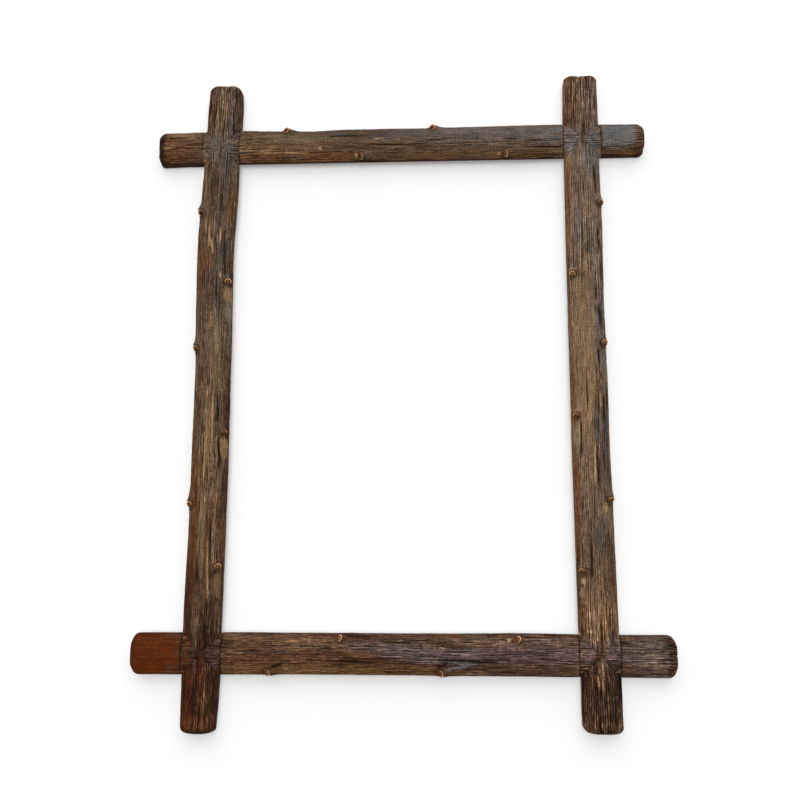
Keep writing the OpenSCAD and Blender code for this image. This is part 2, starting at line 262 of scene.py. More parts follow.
            (34.3, 1, 32, 14, 0.9, -1.9, 18), (110.5, -1, 40, 9, 0.4, 0, 0),
        ],
        "outer": [
            (-258, -0.5), (-160, 0.9), (-130, -0.7), (-95, -1.5), (-70, -0.5), (-50, 0.2), (0, -0.3),
            (125, 0.5), (150, 0.8), (215, -0.3), (256, -0.8),
        ],
        "inner": [
            (-258, -2.2), (-240, -3), (-212, -3.2), (-165, -2), (-120, -1.9), (-60, -1.7), (-10, -2),
            (40, -1.5), (150, -1.4), (170, -2.4), (210, -4.4), (256, -4.6),
        ],
        "stains": [
            (120, 8, 130, 13, "grey", 0.75), (220, 6, 55, 15, "ash", 0.85), (222, 3, 16, 12, "steel", 0.5),
            # The right end's lower edge: an orange-brown stain, partly painted light, made brighter than the
            # glaze there to make up for the shade on that downward-facing edge.
            (235, -17, 28, 5, "chestnut", 0.95), (235, -17.5, 28, 3.5, "knot_core", 0.65),
            (60, 2, 60, 6, "bark", 0.6), (-10, 9, 50, 5, "slate", 0.7), (70, 4, 60, 4, "slate", 0.4),
            (-50, 12, 42, 8, "umber", 0.6), (-110, 4, 40, 9, "olive", 0.35),
            (-150, -4, 26, 10, "tan", 0.45), (-100, -13, 75, 7, "chestnut", 0.75),
            (60, -15, 150, 4, "ochre", 0.7), (-100, -2, 70, 4, "chestnut", 0.4),
            (-80, -20, 120, 4, "oxblood", 0.6), (120, -20, 130, 3.6, "russet", 0.5),
            (-245, -4, 34, 20, "chestnut", 0.7), (210.4, 0, 0.9, 19, "chestnut", 0.9),
            (-238, 12, 22, 7, "tan", 0.55), (-256, 0, 7, 24, "oxblood", 0.7),
            (251, 0, 6, 24, "chestnut", 0.6), (190, 0, 18, 22, "grey", 0.4),
            (-190, 2, 18, 18, "grey", 0.4), (-65, 12, 8, 5, "slate", 0.6),
        ],
        "calm": [
            (110, 10, 130, 10, 0.65), (222, 6, 26, 14, 0.6), (-236, 11, 24, 7, 0.6),
            (-60, 6, 110, 14, 0.5), (60, -14, 150, 6, 0.4),
        ],
        "marks": [
            ("scar", -86, -6, -82, -6, 2.2, "straw"), ("scar", -132, 4.5, -133, 1.5, 1.2, "straw"),
            ("scar", -121, -4, -119, -8, 1.2, "straw"), ("scar", -44.5, -13, -48, -13, 2.0, "pale"),
            ("ridge", -150, -9, -100, -9.5, 0.9, "straw"), ("crack", -78, 8, -40, 8.5, 0.9, "slate"),
            ("crack", -40, -2, 20, -4, 0.8, "umber"), ("ridge", -28, 4, -16, 4, 0.9, "straw"),
            ("scar", 105, -13.5, 102, -13.5, 1.6, "straw"), ("crack", -250, 10, -225, 10, 0.8, "soot"),
            ("ridge", -254, -2, -240, -2, 0.9, "straw"), ("crack", 130, -8, 175, -9, 0.8, "umber"),
        ],
    },
    "bottom_rail": {
        "seed": 53,
        "ends": (BASE_LOW.x + 0.8, BASE_HIGH.x - 1.2),
        "base": "cocoa", "lift": (1.0, 1.15, 1.42),
        "outer_round": (7, 7.5), "inner_round": (7.5, 8.5), "bulge": (1.3, 1.4),
        "rim": (0.3, 1.0), "rim_depth": (8, 12), "nick": (0, 0.8),
        "streaks": (0.2, 0.3, 0.2), "dashes": 1.0, "bold": (0, 0), "side": "umber",
        "knots": [
            (-125, 1, 35, 10, 0.4, -2.6, 0), (-56.5, -1, 30, 6, 0.2, -0.8, 0),
            (40, 1, 35, 18, 0.6, -2.2, 0), (113.5, -1, 35, 6, 0.6, 0, 0),
        ],
        "outer": [(-260, -0.1), (-170, -0.1), (-100, -0.6), (20, -0.2), (95, 0.2), (170, 0.6), (264, 1)],
        "inner": [
            (-260, 1.4), (-150, 1.7), (-60, 1.5), (60, 1.1), (110, 1.9), (150, 1.3), (190, 0.4), (264, 0.4),
        ],
        "stains": [
            (-110, -13, 90, 7, "bark", 0.7), (-90, 0, 110, 26, "chestnut", 0.3),
            (-10, -8, 45, 6, "slate", 0.5), (-80, 14, 110, 6, "ochre", 0.7), (60, -14, 70, 6, "bark", 0.6),
            (40, -1, 62, 8, "plum", 0.75), (60, 5, 34, 3, "slate", 0.8), (160, -3, 90, 13, "plum", 0.6),
            (160, -12, 90, 6, "bark", 0.6), (150, 14, 100, 5, "umber", 0.4),
            (-245, 0, 42, 30, "russet", 0.95), (-190, 0, 20, 26, "umber", 0.7),
            (240, 0, 24, 20, "grey", 0.3), (190, 0, 18, 22, "plum", 0.4),
        ],
        "calm": [(-245, 0, 40, 30, 0.8), (-150, 14, 50, 6, 0.3)],
        "marks": [
            ("crack", -124, 11.5, -110, 8.5, 1.5, "soot"), ("crack", 36, 11.5, 46, 8, 1.2, "soot"),
            ("scar", 46, 12.5, 70, 9.5, 1.3, "frost"), ("scar", 106, -14, 103, -13.5, 2.2, "pale"),
            ("scar", 141, -12.5, 144, -13, 1.2, "frost"), ("ridge", 28, -18, 62, -17.5, 0.8, "russet"),
            ("crack", 30, 4, 96, 6.5, 1.0, "soot"), ("crack", -60, 6, -20, 7, 1.0, "soot"),
            ("ridge", -90, -7, -74, -6.5, 0.5, "tan"),
        ],
    },
}

for bar in BARS.values():
    bar["knots"] = [Knot(*knot) for knot in bar["knots"]]
    bar["marks"] = [Mark(*mark) for mark in bar["marks"]]


# Random hills, steps and other small sums


def eased(t):
    """A smooth rise from 0 at 0 to 1 at 1."""
    return t * t * (3 - 2 * t)


def hills(seed, u, v):
    """Smooth random hills from -1 to 1, one lattice step apart in u and in v, that repeat after a span."""
    span = 128
    table = np.random.default_rng(seed).uniform(-1, 1, (span, span))
    iu, iv = np.floor(u).astype(int), np.floor(v).astype(int)
    fu, fv = eased(u - iu), eased(v - iv)
    iu, iv, ju, jv = iu % span, iv % span, (iu + 1) % span, (iv + 1) % span
    low = table[iu, iv] * (1 - fu) + table[ju, iv] * fu
    high = table[iu, jv] * (1 - fu) + table[ju, jv] * fu
    return low * (1 - fv) + high * fv


def step(low, high, value):
    """0 below low, 1 above high, and a smooth rise between them."""
    return eased(np.clip((value - low) / (high - low), 0, 1))


def hump(value, half):
    """1 at 0, falling smoothly to 0 at half to either side."""
    return 1 - step(0, half, np.abs(value))


def soft_edge(places, edge):
    """An edge's list of points, drawn as one smooth line through the places given."""
    at, proud = zip(*edge)
    shifts = np.linspace(-14, 14, 15)
    return np.mean([np.interp(places + shift, at, proud) for shift in shifts], axis=0)


def crown_radius(width, sizes):
    """The radius of a bar's crown, which rises from its straight sides to its full thickness."""
    rise = THICK - sizes.side_height / MM
    return (width * width / 4 + rise * rise) / (2 * rise)


def crown_at(width, across, sizes):
    """How far in front of the back the crown of a bar lies, at a distance from the bar's middle."""
    radius = crown_radius(width, sizes)
    return THICK - radius + np.sqrt(np.maximum(radius * radius - across * across, 0))


def bar_width(name, sizes):
    return (sizes.stile_width if name in STILES else sizes.rail_width) / MM


def crossings(name):
    """Where the crossings lie along a bar."""
    place = RAIL_PITCH / 2 if name in STILES else CROSS_X
    return (-place, place)


def bar_matrix(name):
    """Takes a bar's own X, Y and C in millimetres to its place in the frame in metres."""
    rows = {
        "top_rail": ((1, 0, 0, 0), (0, 1, 0, 0), (0, 0, 1, 0)),
        "bottom_rail": ((1, 0, 0, 0), (0, 1, 0, 0), (0, 0, -1, -RAIL_PITCH)),
        "left_stile": ((0, 0, -1, -CROSS_X), (0, 1, 0, 0), (1, 0, 0, MID_Z)),
        "right_stile": ((0, 0, 1, CROSS_X), (0, 1, 0, 0), (1, 0, 0, MID_Z)),
    }
    return Matrix.Scale(MM, 4) @ Matrix((*rows[name], (0, 0, 0, 1)))


# Bars


def ring_places(name, sizes):
    """Where the rings of a bar's mesh lie along it: closest at crossings, knots and ends."""
    bar = BARS[name]
    low, high = bar["ends"]
    fine = np.linspace(low, high, 12001)
    gap = np.full_like(fine, 1.2)
    half_block = sizes.rail_width / MM / 2
    for x in crossings(name):
        if name in STILES:
            gap = np.where(abs(fine - x) < half_block + 2, 0.68, gap)
        else:
            away = abs(fine - x) - sizes.block_width / MM / 2
            gap = np.where(abs(away) < 3, 0.6, gap)
            gap = np.where(away < -3, 4, gap)
    for knot in bar["knots"]:
        gap = np.where(abs(fine - knot.along - 3) < 9, 0.7, gap)
    from_end = np.minimum(fine - low, high - fine)
    for near, close in ((9, 0.55), (2.2, 0.28), (0.7, 0.12)):
        gap = np.where(from_end < near, close, gap)
    walked = np.concatenate([[0], np.cumsum(1 / gap[:-1]) * (fine[1] - fine[0])])
    count = math.ceil(walked[-1])
    places = np.interp(np.linspace(0, walked[-1], count + 1), walked, fine)
    if name in RAILS:
        return places
    # A stile widens to its block in a step, between two rings that lie close together
    for x in crossings(name):
        for side in (-1, 1):
            corner = x + side * half_block
            places = places[abs(places - corner) > 0.4]
            places = np.sort(np.append(places, [corner, corner - side * 0.06]))
    return places


def bar_section(width, sizes):
    """The points round a bar, as shares of its half width, shares of its side and places on its arc."""
    radius = crown_radius(width, sizes)
    widest = math.asin(width / 2 / radius)
    bend = np.linspace(-widest, widest, CROWN_POINTS)
    side = sizes.side_height / MM
    down, back = SIDE_SHARES, BACK_SHARES
    edge, flat = np.ones_like(down), np.zeros_like(back)
    across = np.concatenate([-back[::-1], -edge, np.sin(bend) / math.sin(widest), edge, back])
    height = np.concatenate([flat, down[::-1], np.full(CROWN_POINTS, ON_CROWN), down, flat])
    arc_side = radius * widest + side * (1 - down)
    arc_back = radius * widest + side + width / 2 * (1 - back)
    arc = np.concatenate([-arc_back[::-1], -arc_side[::-1], radius * bend, arc_side, arc_back])
    return across, height, arc


def smooth_lower(a, b, blend):
    """The lower of two heights, with the crease between them rounded."""
    near = np.maximum(blend - np.abs(a - b), 0)
    return np.minimum(a, b) - near * near / (4 * blend)


def bar_rings(name, sizes):
    """The smooth bar as rings of points, with each point's place in the pattern of the carving."""
    bar = BARS[name]
    low, high = bar["ends"]
    width = bar_width(name, sizes)
    places = ring_places(name, sizes)
    across, height, arc = bar_section(width, sizes)
    out = width / 2 + soft_edge(places, bar["outer"])
    inn = width / 2 + soft_edge(places, bar["inner"])
    middle = ((out - inn) / 2)[:, None]
    half = ((out + inn) / 2)[:, None]
    from_end = np.minimum(places - low, high - places)[:, None]
    at_low = (places - low < high - places)[:, None]
    outer, inner, bulge = (np.where(at_low, *bar[key]) for key in ("outer_round", "inner_round", "bulge"))
    corner = np.where(across > 0, outer, inner) * sizes.end_radius / MM / END_RADIUS
    turned = np.clip(corner - from_end, 0, corner)
    narrowed = half - corner + np.sqrt(corner**2 - turned**2)
    roll = sizes.end_roll / MM
    rolled = np.clip(roll - from_end, 0, roll)
    ceiling = THICK - roll + np.sqrt(roll**2 - rolled**2) + np.maximum(from_end - roll, 0)

    # Each end is a little convex, and a rail's is longest at the back
    way = np.where(at_low, -1, 1)
    bulge = bulge * across**2 * np.clip(1 - from_end / 25, 0, 1)
    spread = 1.2 * (name in RAILS) * np.clip(1 - height, 0, 1) * np.clip(1 - from_end / 10, 0, 1) ** 2
    x = places[:, None] - way * (bulge - spread)
    c = middle + narrowed * across
    top = crown_at(width, across * width / 2 + 0 * x, sizes)
    top = smooth_lower(top, ceiling + 0 * top, 1.2)
    cross, valley, seam = np.zeros((3, *x.shape))
    u = x.copy()
    v = arc + 0 * x
    rail = sizes.rail_width / MM
    half_block = sizes.block_width / MM / 2
    rail_radius = crown_radius(rail, sizes)
    for place in crossings(name):
        dx = x - place
        if name in RAILS:
            seam = np.maximum(seam, hump(abs(dx) - half_block, 1.3))
            continue
        inside = abs(dx) < rail / 2 - 0.03
        block = half_block * across + 0 * x
        own_top = crown_at(width, np.minimum(abs(block), 21), sizes)
        rail_top = crown_at(rail, np.minimum(abs(dx), rail / 2), sizes)
        c = np.where(inside, block, c)
        top = np.where(inside, np.maximum(own_top, rail_top), top)
        turned_over = inside & (rail_top > own_top)
        cross = np.where(inside, step(-0.3, 0.3, rail_top - own_top), cross)
        valley = np.where(inside, hump(rail_top - own_top, 0.7) * step(0.5, 3, abs(dx)), valley)
        seam = np.where(inside, hump(half_block - abs(block), 1.3), seam)
        u = np.where(turned_over, c + 3 * place, u)
        v = np.where(turned_over, rail_radius * np.arcsin(dx.clip(-rail / 2, rail / 2) / rail_radius), v)
    edge = np.where(across < 0, top[:, [CROWN_FIRST]], top[:, [CROWN_LAST]])
    y = -np.where(height == ON_CROWN, top, height * edge)

    # End faces are drawn on as smaller and smaller rings round a middle point
    shares = np.array([0.0, 0.1, 0.24, 0.4, 0.56, 0.72, 0.86, 0.95])
    first = [place_ring(low, x[0], c[0], y[0], share, -1) for share in shares]
    last = [place_ring(high, x[-1], c[-1], y[-1], share, 1) for share in shares[::-1]]
    points = np.concatenate([first, np.stack([x, c, y], axis=-1), last])
    rings = {"points": points, "x": points[..., 0], "c": points[..., 1], "y": points[..., 2]}
    count = len(shares)
    for key, field in (("u", u), ("v", v), ("cross", cross), ("valley", valley), ("seam", seam)):
        rings[key] = np.pad(field, ((count, count), (0, 0)), mode="edge")
    rings["cap"] = np.concatenate([shares, np.ones(len(places)), shares[::-1]])[:, None] + 0 * across
    rings["from_end"] = np.pad(from_end[:, 0], count)[:, None] + 0 * across
    front = np.where(height == ON_CROWN, 1.0, np.where(height > 0, 0.25 + 0.5 * height, 0.0))
    rings["front"] = front + 0 * rings["x"]
    return rings


def place_ring(end, x, c, y, share, way):
    """One ring of an end face, drawn in towards the face's middle."""
    middle_c = (c.min() + c.max()) / 2
    face_x = end + (x - end) * share**2 + way * 0.25 * (1 - share)
    return np.stack([face_x, middle_c + (c - middle_c) * share, -8 + (y + 8) * share], axis=-1)


def outward(points):
    """Unit normals of a closed tube of rings, from the differences between its neighbouring points."""
    along = np.gradient(points, axis=0)
    inner = points[:, :-1]
    round_it = np.roll(inner, -1, axis=1) - np.roll(inner, 1, axis=1)
    round_it = np.concatenate([round_it, round_it[:, :1]], axis=1)
    normal = np.cross(along, round_it)
    normal /= np.maximum(np.linalg.norm(normal, axis=-1, keepdims=True), 1e-9)
    from_middle = points - points[:, :-1].mean(axis=1, keepdims=True)
    if (normal[20:-20] * from_middle[20:-20]).sum() < 0:
        normal = -normal
    return normal


def knot_axes(width, knot, sizes):
    """A knot's tip and the ways it points, along its plumb and level, in its bar's own X, C and Y."""
    lean = math.radians(knot.lean)
    tilt = math.radians(KNOT_TILT * knot.side)
    inset, raised = (0.4, 1.7) if knot.side > 0 else (4.6, 2)
    off = knot.shift + knot.side * (width / 2 - inset)
    up = crown_at(width, min(off, width / 2), sizes) + raised
    turn = tilt - knot.side * math.radians(knot.nod)
    axis = np.array([-math.sin(lean), math.cos(lean) * math.sin(turn), -math.cos(lean) * math.cos(turn)])
    plumb = np.array([0, math.sin(tilt), -math.cos(tilt)])
    level = np.array([0, math.cos(tilt), math.sin(tilt)])
    tip = np.array([knot.along, off, -up]) + axis * sizes.knot_proud / MM
    return tip, axis, plumb, level


def mark_place(u, v, mark):
    """How far along a mark each point is, from -1 to 1, and how many mm to its side."""
    along_0, across_0, along_1, across_1 = mark[1:5]
    half = max(abs(along_1 - along_0) / 2, 0.5)
    t = (u - (along_0 + along_1) / 2) / half * (1 if along_1 > along_0 else -1)
    return t, v - (across_0 + across_1) / 2 - (across_1 - across_0) / 2 * t


def carving(name, rings, sizes):
    """The carving's depth in mm, and how much fibre, groove and calm is at each point."""
    bar = BARS[name]
    seed = bar["seed"]
    width = bar_width(name, sizes)
    u, v = rings["u"], rings["v"]
    pitch = sizes.fibre_pitch / MM
    v = v + 0.9 * hills(seed + 1, u / 70, v / 16) + 0.22 * hills(seed + 2, u / 16, v / 6)
    # The fibres part round each knot
    for knot in bar["knots"]:
        off = v - knot.side * (width / 2 + (3.5 if knot.side > 0 else -3.4))
        v = v - 2.2 * off / 4 * np.exp(-((off / 6) ** 2) - ((u - knot.along - 1) / 9) ** 2)
    # Ribs run side by side along the bar, bolder and fainter by turns, with finer fibres between them
    rib = v / pitch + 0.5 * hills(seed + 15, u / 60, v / 5) + 0.13 * hills(seed + 16, u / 8, v / 1.6)
    comb = np.cos(2 * math.pi * rib)
    combed = step(*((38, 22) if name in STILES else (24, 12)), rings["from_end"])
    fibre = 1.5 * comb * (0.7 + 0.4 * combed + (0.9 - 0.5 * combed) * hills(seed + 17, u / 13, rib))
    fibre += 0.55 * hills(seed + 3, u / 11, v / 0.9) + 0.8 * hills(seed + 4, u / 2.6, v / 1.0)
    fibre = (fibre + 0.35 * hills(seed + 5, u / 30, v / 3)) / 0.82

    # Cuts of the carving knife, and splinters left standing
    random = np.random.default_rng(seed + 8)
    low, high = bar["ends"]
    for number in range(int((high - low) / 3.2)):
        splinter = number % 2
        at = random.uniform(low, high)
        line = random.uniform(-1.15, 1.15) * width / 2
        half = random.uniform(2, 10) if splinter else random.uniform(4, 24)
        wide = random.uniform(0.5, 0.75)
        strength = random.uniform(0.6, 1) * (2.2 if splinter else -2.7)
        rows = slice(*np.searchsorted(rings["x"][:, 0], [at - half, at + half]))
        here = hump((u[rows] - at) / half, 1) ** 0.5 * hump(v[rows] - line, wide * 1.7)
        here = np.where(rings["cross"][rows] > 0.5, 0, here)
        fibre[rows] = fibre[rows] * (1 - here) + strength * here

    calm = np.zeros_like(u)
    for along, place, half_u, half_v, strength in bar["calm"]:
        far = np.hypot((u - along) / half_u, (v - place) / half_v) + 0.2 * hills(seed + 9, u / 20, v / 4)
        calm = np.maximum(calm, strength * step(1.25, 0.7, far))
    for mark in bar["marks"]:
        if mark.kind == "scar":
            t, off = mark_place(rings["x"], rings["c"], mark)
            calm = np.maximum(calm, 0.8 * step(1.3, 0.7, np.hypot(t, off / mark.half)))
    for knot in bar["knots"]:
        tip, _, _, level = knot_axes(width, knot, sizes)
        off = (rings["points"] - tip) @ level
        along = rings["x"] - knot.along
        near = hump(off, 7.5) * step(-7, -3, along) * step(knot.ramp + 6, knot.ramp * 0.6, along)
        calm = np.maximum(calm, 0.35 * near)
    fibre = fibre * (1 - 0.75 * calm)

    for mark in bar["marks"]:
        t, off = mark_place(rings["x"], rings["c"], mark)
        sway = 0.4 * hills(seed + 10, u / 9, v * 0 + mark.along)
        here = step(1.15, 0.3, abs(t)) * hump(off + sway, mark.half * 1.6)
        if mark.kind == "crack":
            fibre = fibre * (1 - here) - 2.8 * here
        if mark.kind == "ridge":
            broken = 0.75 + 0.5 * hills(seed + 11, u / 3.5, v)
            fibre = fibre * (1 - here) + 1.7 * here * broken
    seam = rings["seam"] * (0.75 + 0.5 * hills(seed + 12, rings["x"] / 3, rings["c"] / 3))
    fibre = fibre - 1.2 * seam - 0.35 * rings["valley"]
    groove = step(-0.5, -2.2, fibre)
    depth = groove * 0.85 - 0.1 * fibre + 0.35 * seam + 0.12 * rings["valley"]
    depth -= 0.25 * hills(seed + 7, u / 50, v / 9)
    depth = depth * sizes.groove_depth / MM / 0.85 * rings["front"] * step(0, 1, rings["cap"])
    face = 1 - step(0.93, 1.0, rings["cap"])
    depth += face * 0.15 * hills(seed + 13, rings["c"] / 1.3, rings["y"] / 1.3)
    notches = step(0.4, -0.7, comb + 0.25 * hills(seed + 14, v / 1.5, u * 0 + 3.3))
    nicked = hump(rings["from_end"], 4) * notches
    depth += nicked * np.where(rings["x"] < 0, *bar["nick"]) * rings["front"] * rings["cap"]
    return depth, fibre, groove, calm, v


def swellings(name, rings, sizes):
    """How far the wood is raised, as X, C and Y, where a twig left the bar and bark ran up to it."""
    width = bar_width(name, sizes)
    lift = np.zeros_like(rings["points"])
    radius = sizes.knot_radius / MM
    for knot in BARS[name]["knots"]:
        tip, _, plumb, level = knot_axes(width, knot, sizes)
        lean = math.radians(knot.lean)
        spot = rings["points"] - tip
        along = rings["x"] - tip[0]
        back = radius * math.cos(lean)
        high = 1.6 + sizes.knot_proud / MM * math.cos(lean) + radius * math.sin(lean)
        past = np.clip((along - back) / knot.ramp, 0, 1)
        ramp = high * (1 - past) ** 1.8
        collar = 0.9 * step(-radius - 2.5, -radius + 0.5, along)
        climb = step(back - 0.9, back + 0.4, along)
        up = collar * (1 - climb) + ramp * climb
        half = 6.0 - 1.5 * past
        bow = np.maximum(1 - (spot @ level / half) ** 2, 0) ** 0.8
        amount = up * bow * (spot @ plumb > -9) * (rings["front"] > 0.2)
        lift += amount[..., None] * plumb
    return lift


def stained(name, rings, v, fibre, groove, calm, sizes, colours):
    """The colour of the glaze at each point, in linear red, green and blue."""
    bar = BARS[name]
    seed = bar["seed"]
    width = bar_width(name, sizes)
    u = rings["u"]
    own_u, own_v = rings["x"], rings["c"]
    shade = {key: np.array(getattr(colours, key)) for key in COLOURS}
    tone = np.tile(shade[bar["base"]], (*u.shape, 1))

    def tint(part, key):
        part = part[..., None]
        tone[:] = tone * (1 - part) + shade[key] * part

    horn, foot = (step(near, far, own_u) * (name in STILES) for near, far in ((272, 300), (-185, -285)))
    bold_horn, bold_foot = bar["bold"][0] * horn, bar["bold"][1] * foot
    ragged = 0.3 * hills(seed + 20, u / 14, v / 2.0) + 0.14 * hills(seed + 21, u / 45, v / 6)
    ragged += 0.12 * hills(seed + 19, u / 4, v / 1.1)
    for along, place, half_u, half_v, key, strength in bar["stains"]:
        far = np.hypot((own_u - along) / half_u, (own_v - place) / half_v) + ragged
        tint(strength * step(1.25, 0.6, far), key)
    streaks = zip(bar["streaks"], ("tan", "slate", "ochre"), ((34, 1.5), (38, 1.9), (28, 1.7)))
    for number, (strength, key, (long, wide)) in enumerate(streaks):
        streak = step(0.2, 0.8, hills(seed + 25 + number, u / long, v / wide))
        tint(strength * streak * (1 - 0.9 * calm) * (1 - 0.6 * foot), key)
    dashes = step(0.2, 0.8, hills(seed + 31, u / 6, v / 0.75)) * (1 - calm)
    tone *= 1 + ((bar["dashes"] * (1 + 0.7 * bold_horn) + 1.3 * bold_foot) * dashes)[..., None]
    for mark in bar["marks"]:
        t, off = mark_place(own_u, own_v, mark)
        if mark.kind == "scar":
            far = np.hypot(t, off / mark.half) + 0.25 * hills(seed + 28, own_u / 3, own_v / 1.2)
            tint(0.8 * step(1.25, 0.65, far), mark.colour)
        else:
            frayed = abs(off + 0.4 * hills(seed + 28, u / 5, v / 1.4)) / mark.half
            tint(0.7 * step(1.15, 0.6, abs(t)) * step(1.3, 0.4, frayed), mark.colour)
    tint(step(0.8, 0.7, rings["front"]) * 0.7, bar["side"])

    # Ridges paler and cuts darker, and clouds of darker and lighter glaze
    clouds = 0.14 * hills(seed + 22, u / 24, v / 7) + 0.1 * hills(seed + 23, u / 8, v / 3.5)
    contrast = sizes.glaze_contrast * (1 - 0.35 * calm) * (1 + bold_horn + bold_foot)
    # Paler across the bar as its lift gives. On the rails this is partly painted light: the downward-facing
    # edge is painted paler against its shade.
    paler = np.interp(v / (width / 2), (-0.8, 0, 0.8), bar["lift"])
    tone *= paler[..., None]
    tone *= np.exp(contrast * fibre + clouds - 0.5 * contrast * contrast)[..., None]
    deep = step(0, -2, fibre)[..., None]
    tone *= 1 + deep * (np.array([1.06, 0.96, 0.84]) - 1)
    tint(0.3 * groove, "soot")
    at_bottom = step(20, -20, own_u) if name in STILES else float(name == "bottom_rail")
    tint(0.6 * at_bottom * rings["seam"], "soot")
    tint((1 - step(0.9, 1.0, rings["cap"])) * 0.6, "oxblood")
    darkness, reach = (np.where(own_u < 0, *bar[key]) for key in ("rim", "rim_depth"))
    reach = reach * (1 + 0.3 * hills(seed + 30, v / 1.1, u * 0))
    rim = step(reach, 0.6 * reach, rings["from_end"]) * step(0.5, 0.9, rings["cap"]) * darkness
    tint(rim * (0.95 - 0.8 * step(0.5, 2, fibre)), "soot")

    # Glaze gathered round each knot, partly painted shadow: it reaches furthest on the knot's side towards
    # the bar's low end, which is below the knots on the stiles, and stops just past the knot on the other
    # side
    for knot in bar["knots"]:
        tip, axis, plumb, _ = knot_axes(width, knot, sizes)
        spot = rings["points"] - tip
        off_axis = np.linalg.norm(spot - (spot @ axis)[..., None] * axis, axis=-1)
        strong = 1 if knot.side > 0 else 0.7
        reach = strong * (2.4 - 1.8 * step(-2, 2.5, spot[..., 0]))
        ring = step(reach, 0.3, off_axis - sizes.knot_radius / MM) * (spot @ plumb > -9)
        # Painted shadow: nothing past the knot towards the bar's high end
        ring = ring * step(3, 0, spot[..., 0])
        tint(0.85 * strong * ring, "resin")
    return tone.clip(0.003, 1)


def carve_bar(name, sizes, colours):
    """Makes one bar: rings of points, grooved, swollen at its knots, stained, and cut for its joints."""
    rings = bar_rings(name, sizes)
    depth, fibre, groove, calm, v = carving(name, rings, sizes)
    tone = stained(name, rings, v, fibre, groove, calm, sizes, colours)
    points = rings["points"] - outward(rings["points"]) * depth[..., None] + swellings(name, rings, sizes)
    points[:, -1] = points[:, 0]
    points[0] = points[0].mean(axis=0)
    points[-1] = points[-1].mean(axis=0)

    rows, columns = depth.shape
    bpy.ops.object.select_all(action="DESELECT")
    bpy.ops.mesh.primitive_grid_add(x_subdivisions=columns - 1, y_subdivisions=rows - 1, size=1)
    piece = bpy.context.object
    piece.name = "carved_" + name
    mesh = piece.data
    to_frame = np.array(bar_matrix(name))
    own = points[..., [0, 2, 1]].reshape(-1, 3)
    mesh.vertices.foreach_set("co", (own @ to_frame[:3, :3].T + to_frame[:3, 3]).ravel())
    corners = np.empty(len(mesh.loops), dtype=np.int32)
    mesh.loops.foreach_get("vertex_index", corners)
    mesh.uv_layers[0].name = "grain"
    grain = np.stack([rings["u"], v], axis=-1).reshape(-1, 2) * MM
    mesh.uv_layers[0].data.foreach_set("uv", grain[corners].ravel())
    stain = mesh.attributes.new("stain", "FLOAT_COLOR", "CORNER")
    whole = np.concatenate([tone, np.ones((rows, columns, 1))], axis=-1).reshape(-1, 4)
    stain.data.foreach_set("color", whole[corners].ravel())
    hollow = mesh.attributes.new("groove", "FLOAT", "CORNER")
    hollow.data.foreach_set("value", groove.reshape(-1)[corners])
    mesh.materials.append(carved_wood(name))
    mesh.materials.append(planed_wood(name, colours))
    # The back is planed wood, and all the rest is carved
    strip = np.tile(np.arange(columns - 1), rows - 1)
    back = (strip < len(BACK_SHARES) - 1) | (strip >= columns - len(BACK_SHARES))
    mesh.polygons.foreach_set("material_index", back.astype(np.int32))
    bpy.ops.object.mode_set(mode="EDIT")
    bpy.ops.mesh.select_all(action="SELECT")
    bpy.ops.mesh.remove_doubles(threshold=1e-6)
    bpy.ops.mesh.normals_make_consistent(inside=False)
    bpy.ops.object.mode_set(mode="OBJECT")

    for cutter in bar_cutters(name, sizes):
        cut_away(piece, cutter)
    select_only(piece)
    bpy.ops.object.shade_smooth_by_angle(angle=math.radians(55))
    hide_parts(name)
    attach(piece, "frame")
    return piece


# Cutters for the joints, the picture space, the hangers and the knots


def select_only(piece):
    """Selects one object and makes it the active one."""
    bpy.ops.object.select_all(action="DESELECT")
    piece.select_set(True)
    bpy.context.view_layer.objects.active = piece


def pick_edges(piece, test):
    """Goes to edit mode with those edges selected whose two ends pass a test."""
    bpy.ops.object.mode_set(mode="EDIT")
    bpy.ops.mesh.select_mode(type="EDGE")
    bpy.ops.mesh.select_all(action="DESELECT")
    bpy.ops.object.mode_set(mode="OBJECT")
    for edge in piece.data.edges:
        edge.select = test([piece.data.vertices[i].co for i in edge.vertices])
    bpy.ops.object.mode_set(mode="EDIT")


def box_cutter(low, high):
    """A block between two corners given in millimetres."""
    low, high = Vector(low) * MM, Vector(high) * MM
    bpy.ops.object.select_all(action="DESELECT")
    bpy.ops.mesh.primitive_cube_add(size=1, location=(low + high) / 2)
    bpy.ops.transform.resize(value=high - low)
    bpy.ops.object.transform_apply(location=True, rotation=True, scale=True)
    return bpy.context.object


def rod_cutter(base, tip, radius):
    """A round rod between two points given in millimetres."""
    base, tip = Vector(base) * MM, Vector(tip) * MM
    bpy.ops.object.select_all(action="DESELECT")
    bpy.ops.mesh.primitive_cylinder_add(vertices=48, radius=radius * MM, depth=(tip - base).length)
    rod = bpy.context.object
    turn = (tip - base).to_track_quat("Z", "Y").to_matrix().to_4x4()
    rod.matrix_world = Matrix.Translation((base + tip) / 2) @ turn
    bpy.ops.object.transform_apply(location=True, rotation=True, scale=True)
    return rod


def recess_cutter(side):
    """The hanger's recess in a stile's back. The left one is rounded along every edge, the right one only at
    its four upright corners."""
    middle = side * HANGER_X
    recess = box_cutter(
        (middle - RECESS_HALF, -RECESS_DEPTH, RECESS_FOOT), (middle + RECESS_HALF, PAST, RECESS_TOP)
    )
    pick_edges(recess, lambda ends: side < 0 or abs(ends[0].y - ends[1].y) > MM)
    bpy.ops.mesh.bevel(offset=RECESS_CORNER * MM, segments=6)
    bpy.ops.object.mode_set(mode="OBJECT")
    return recess


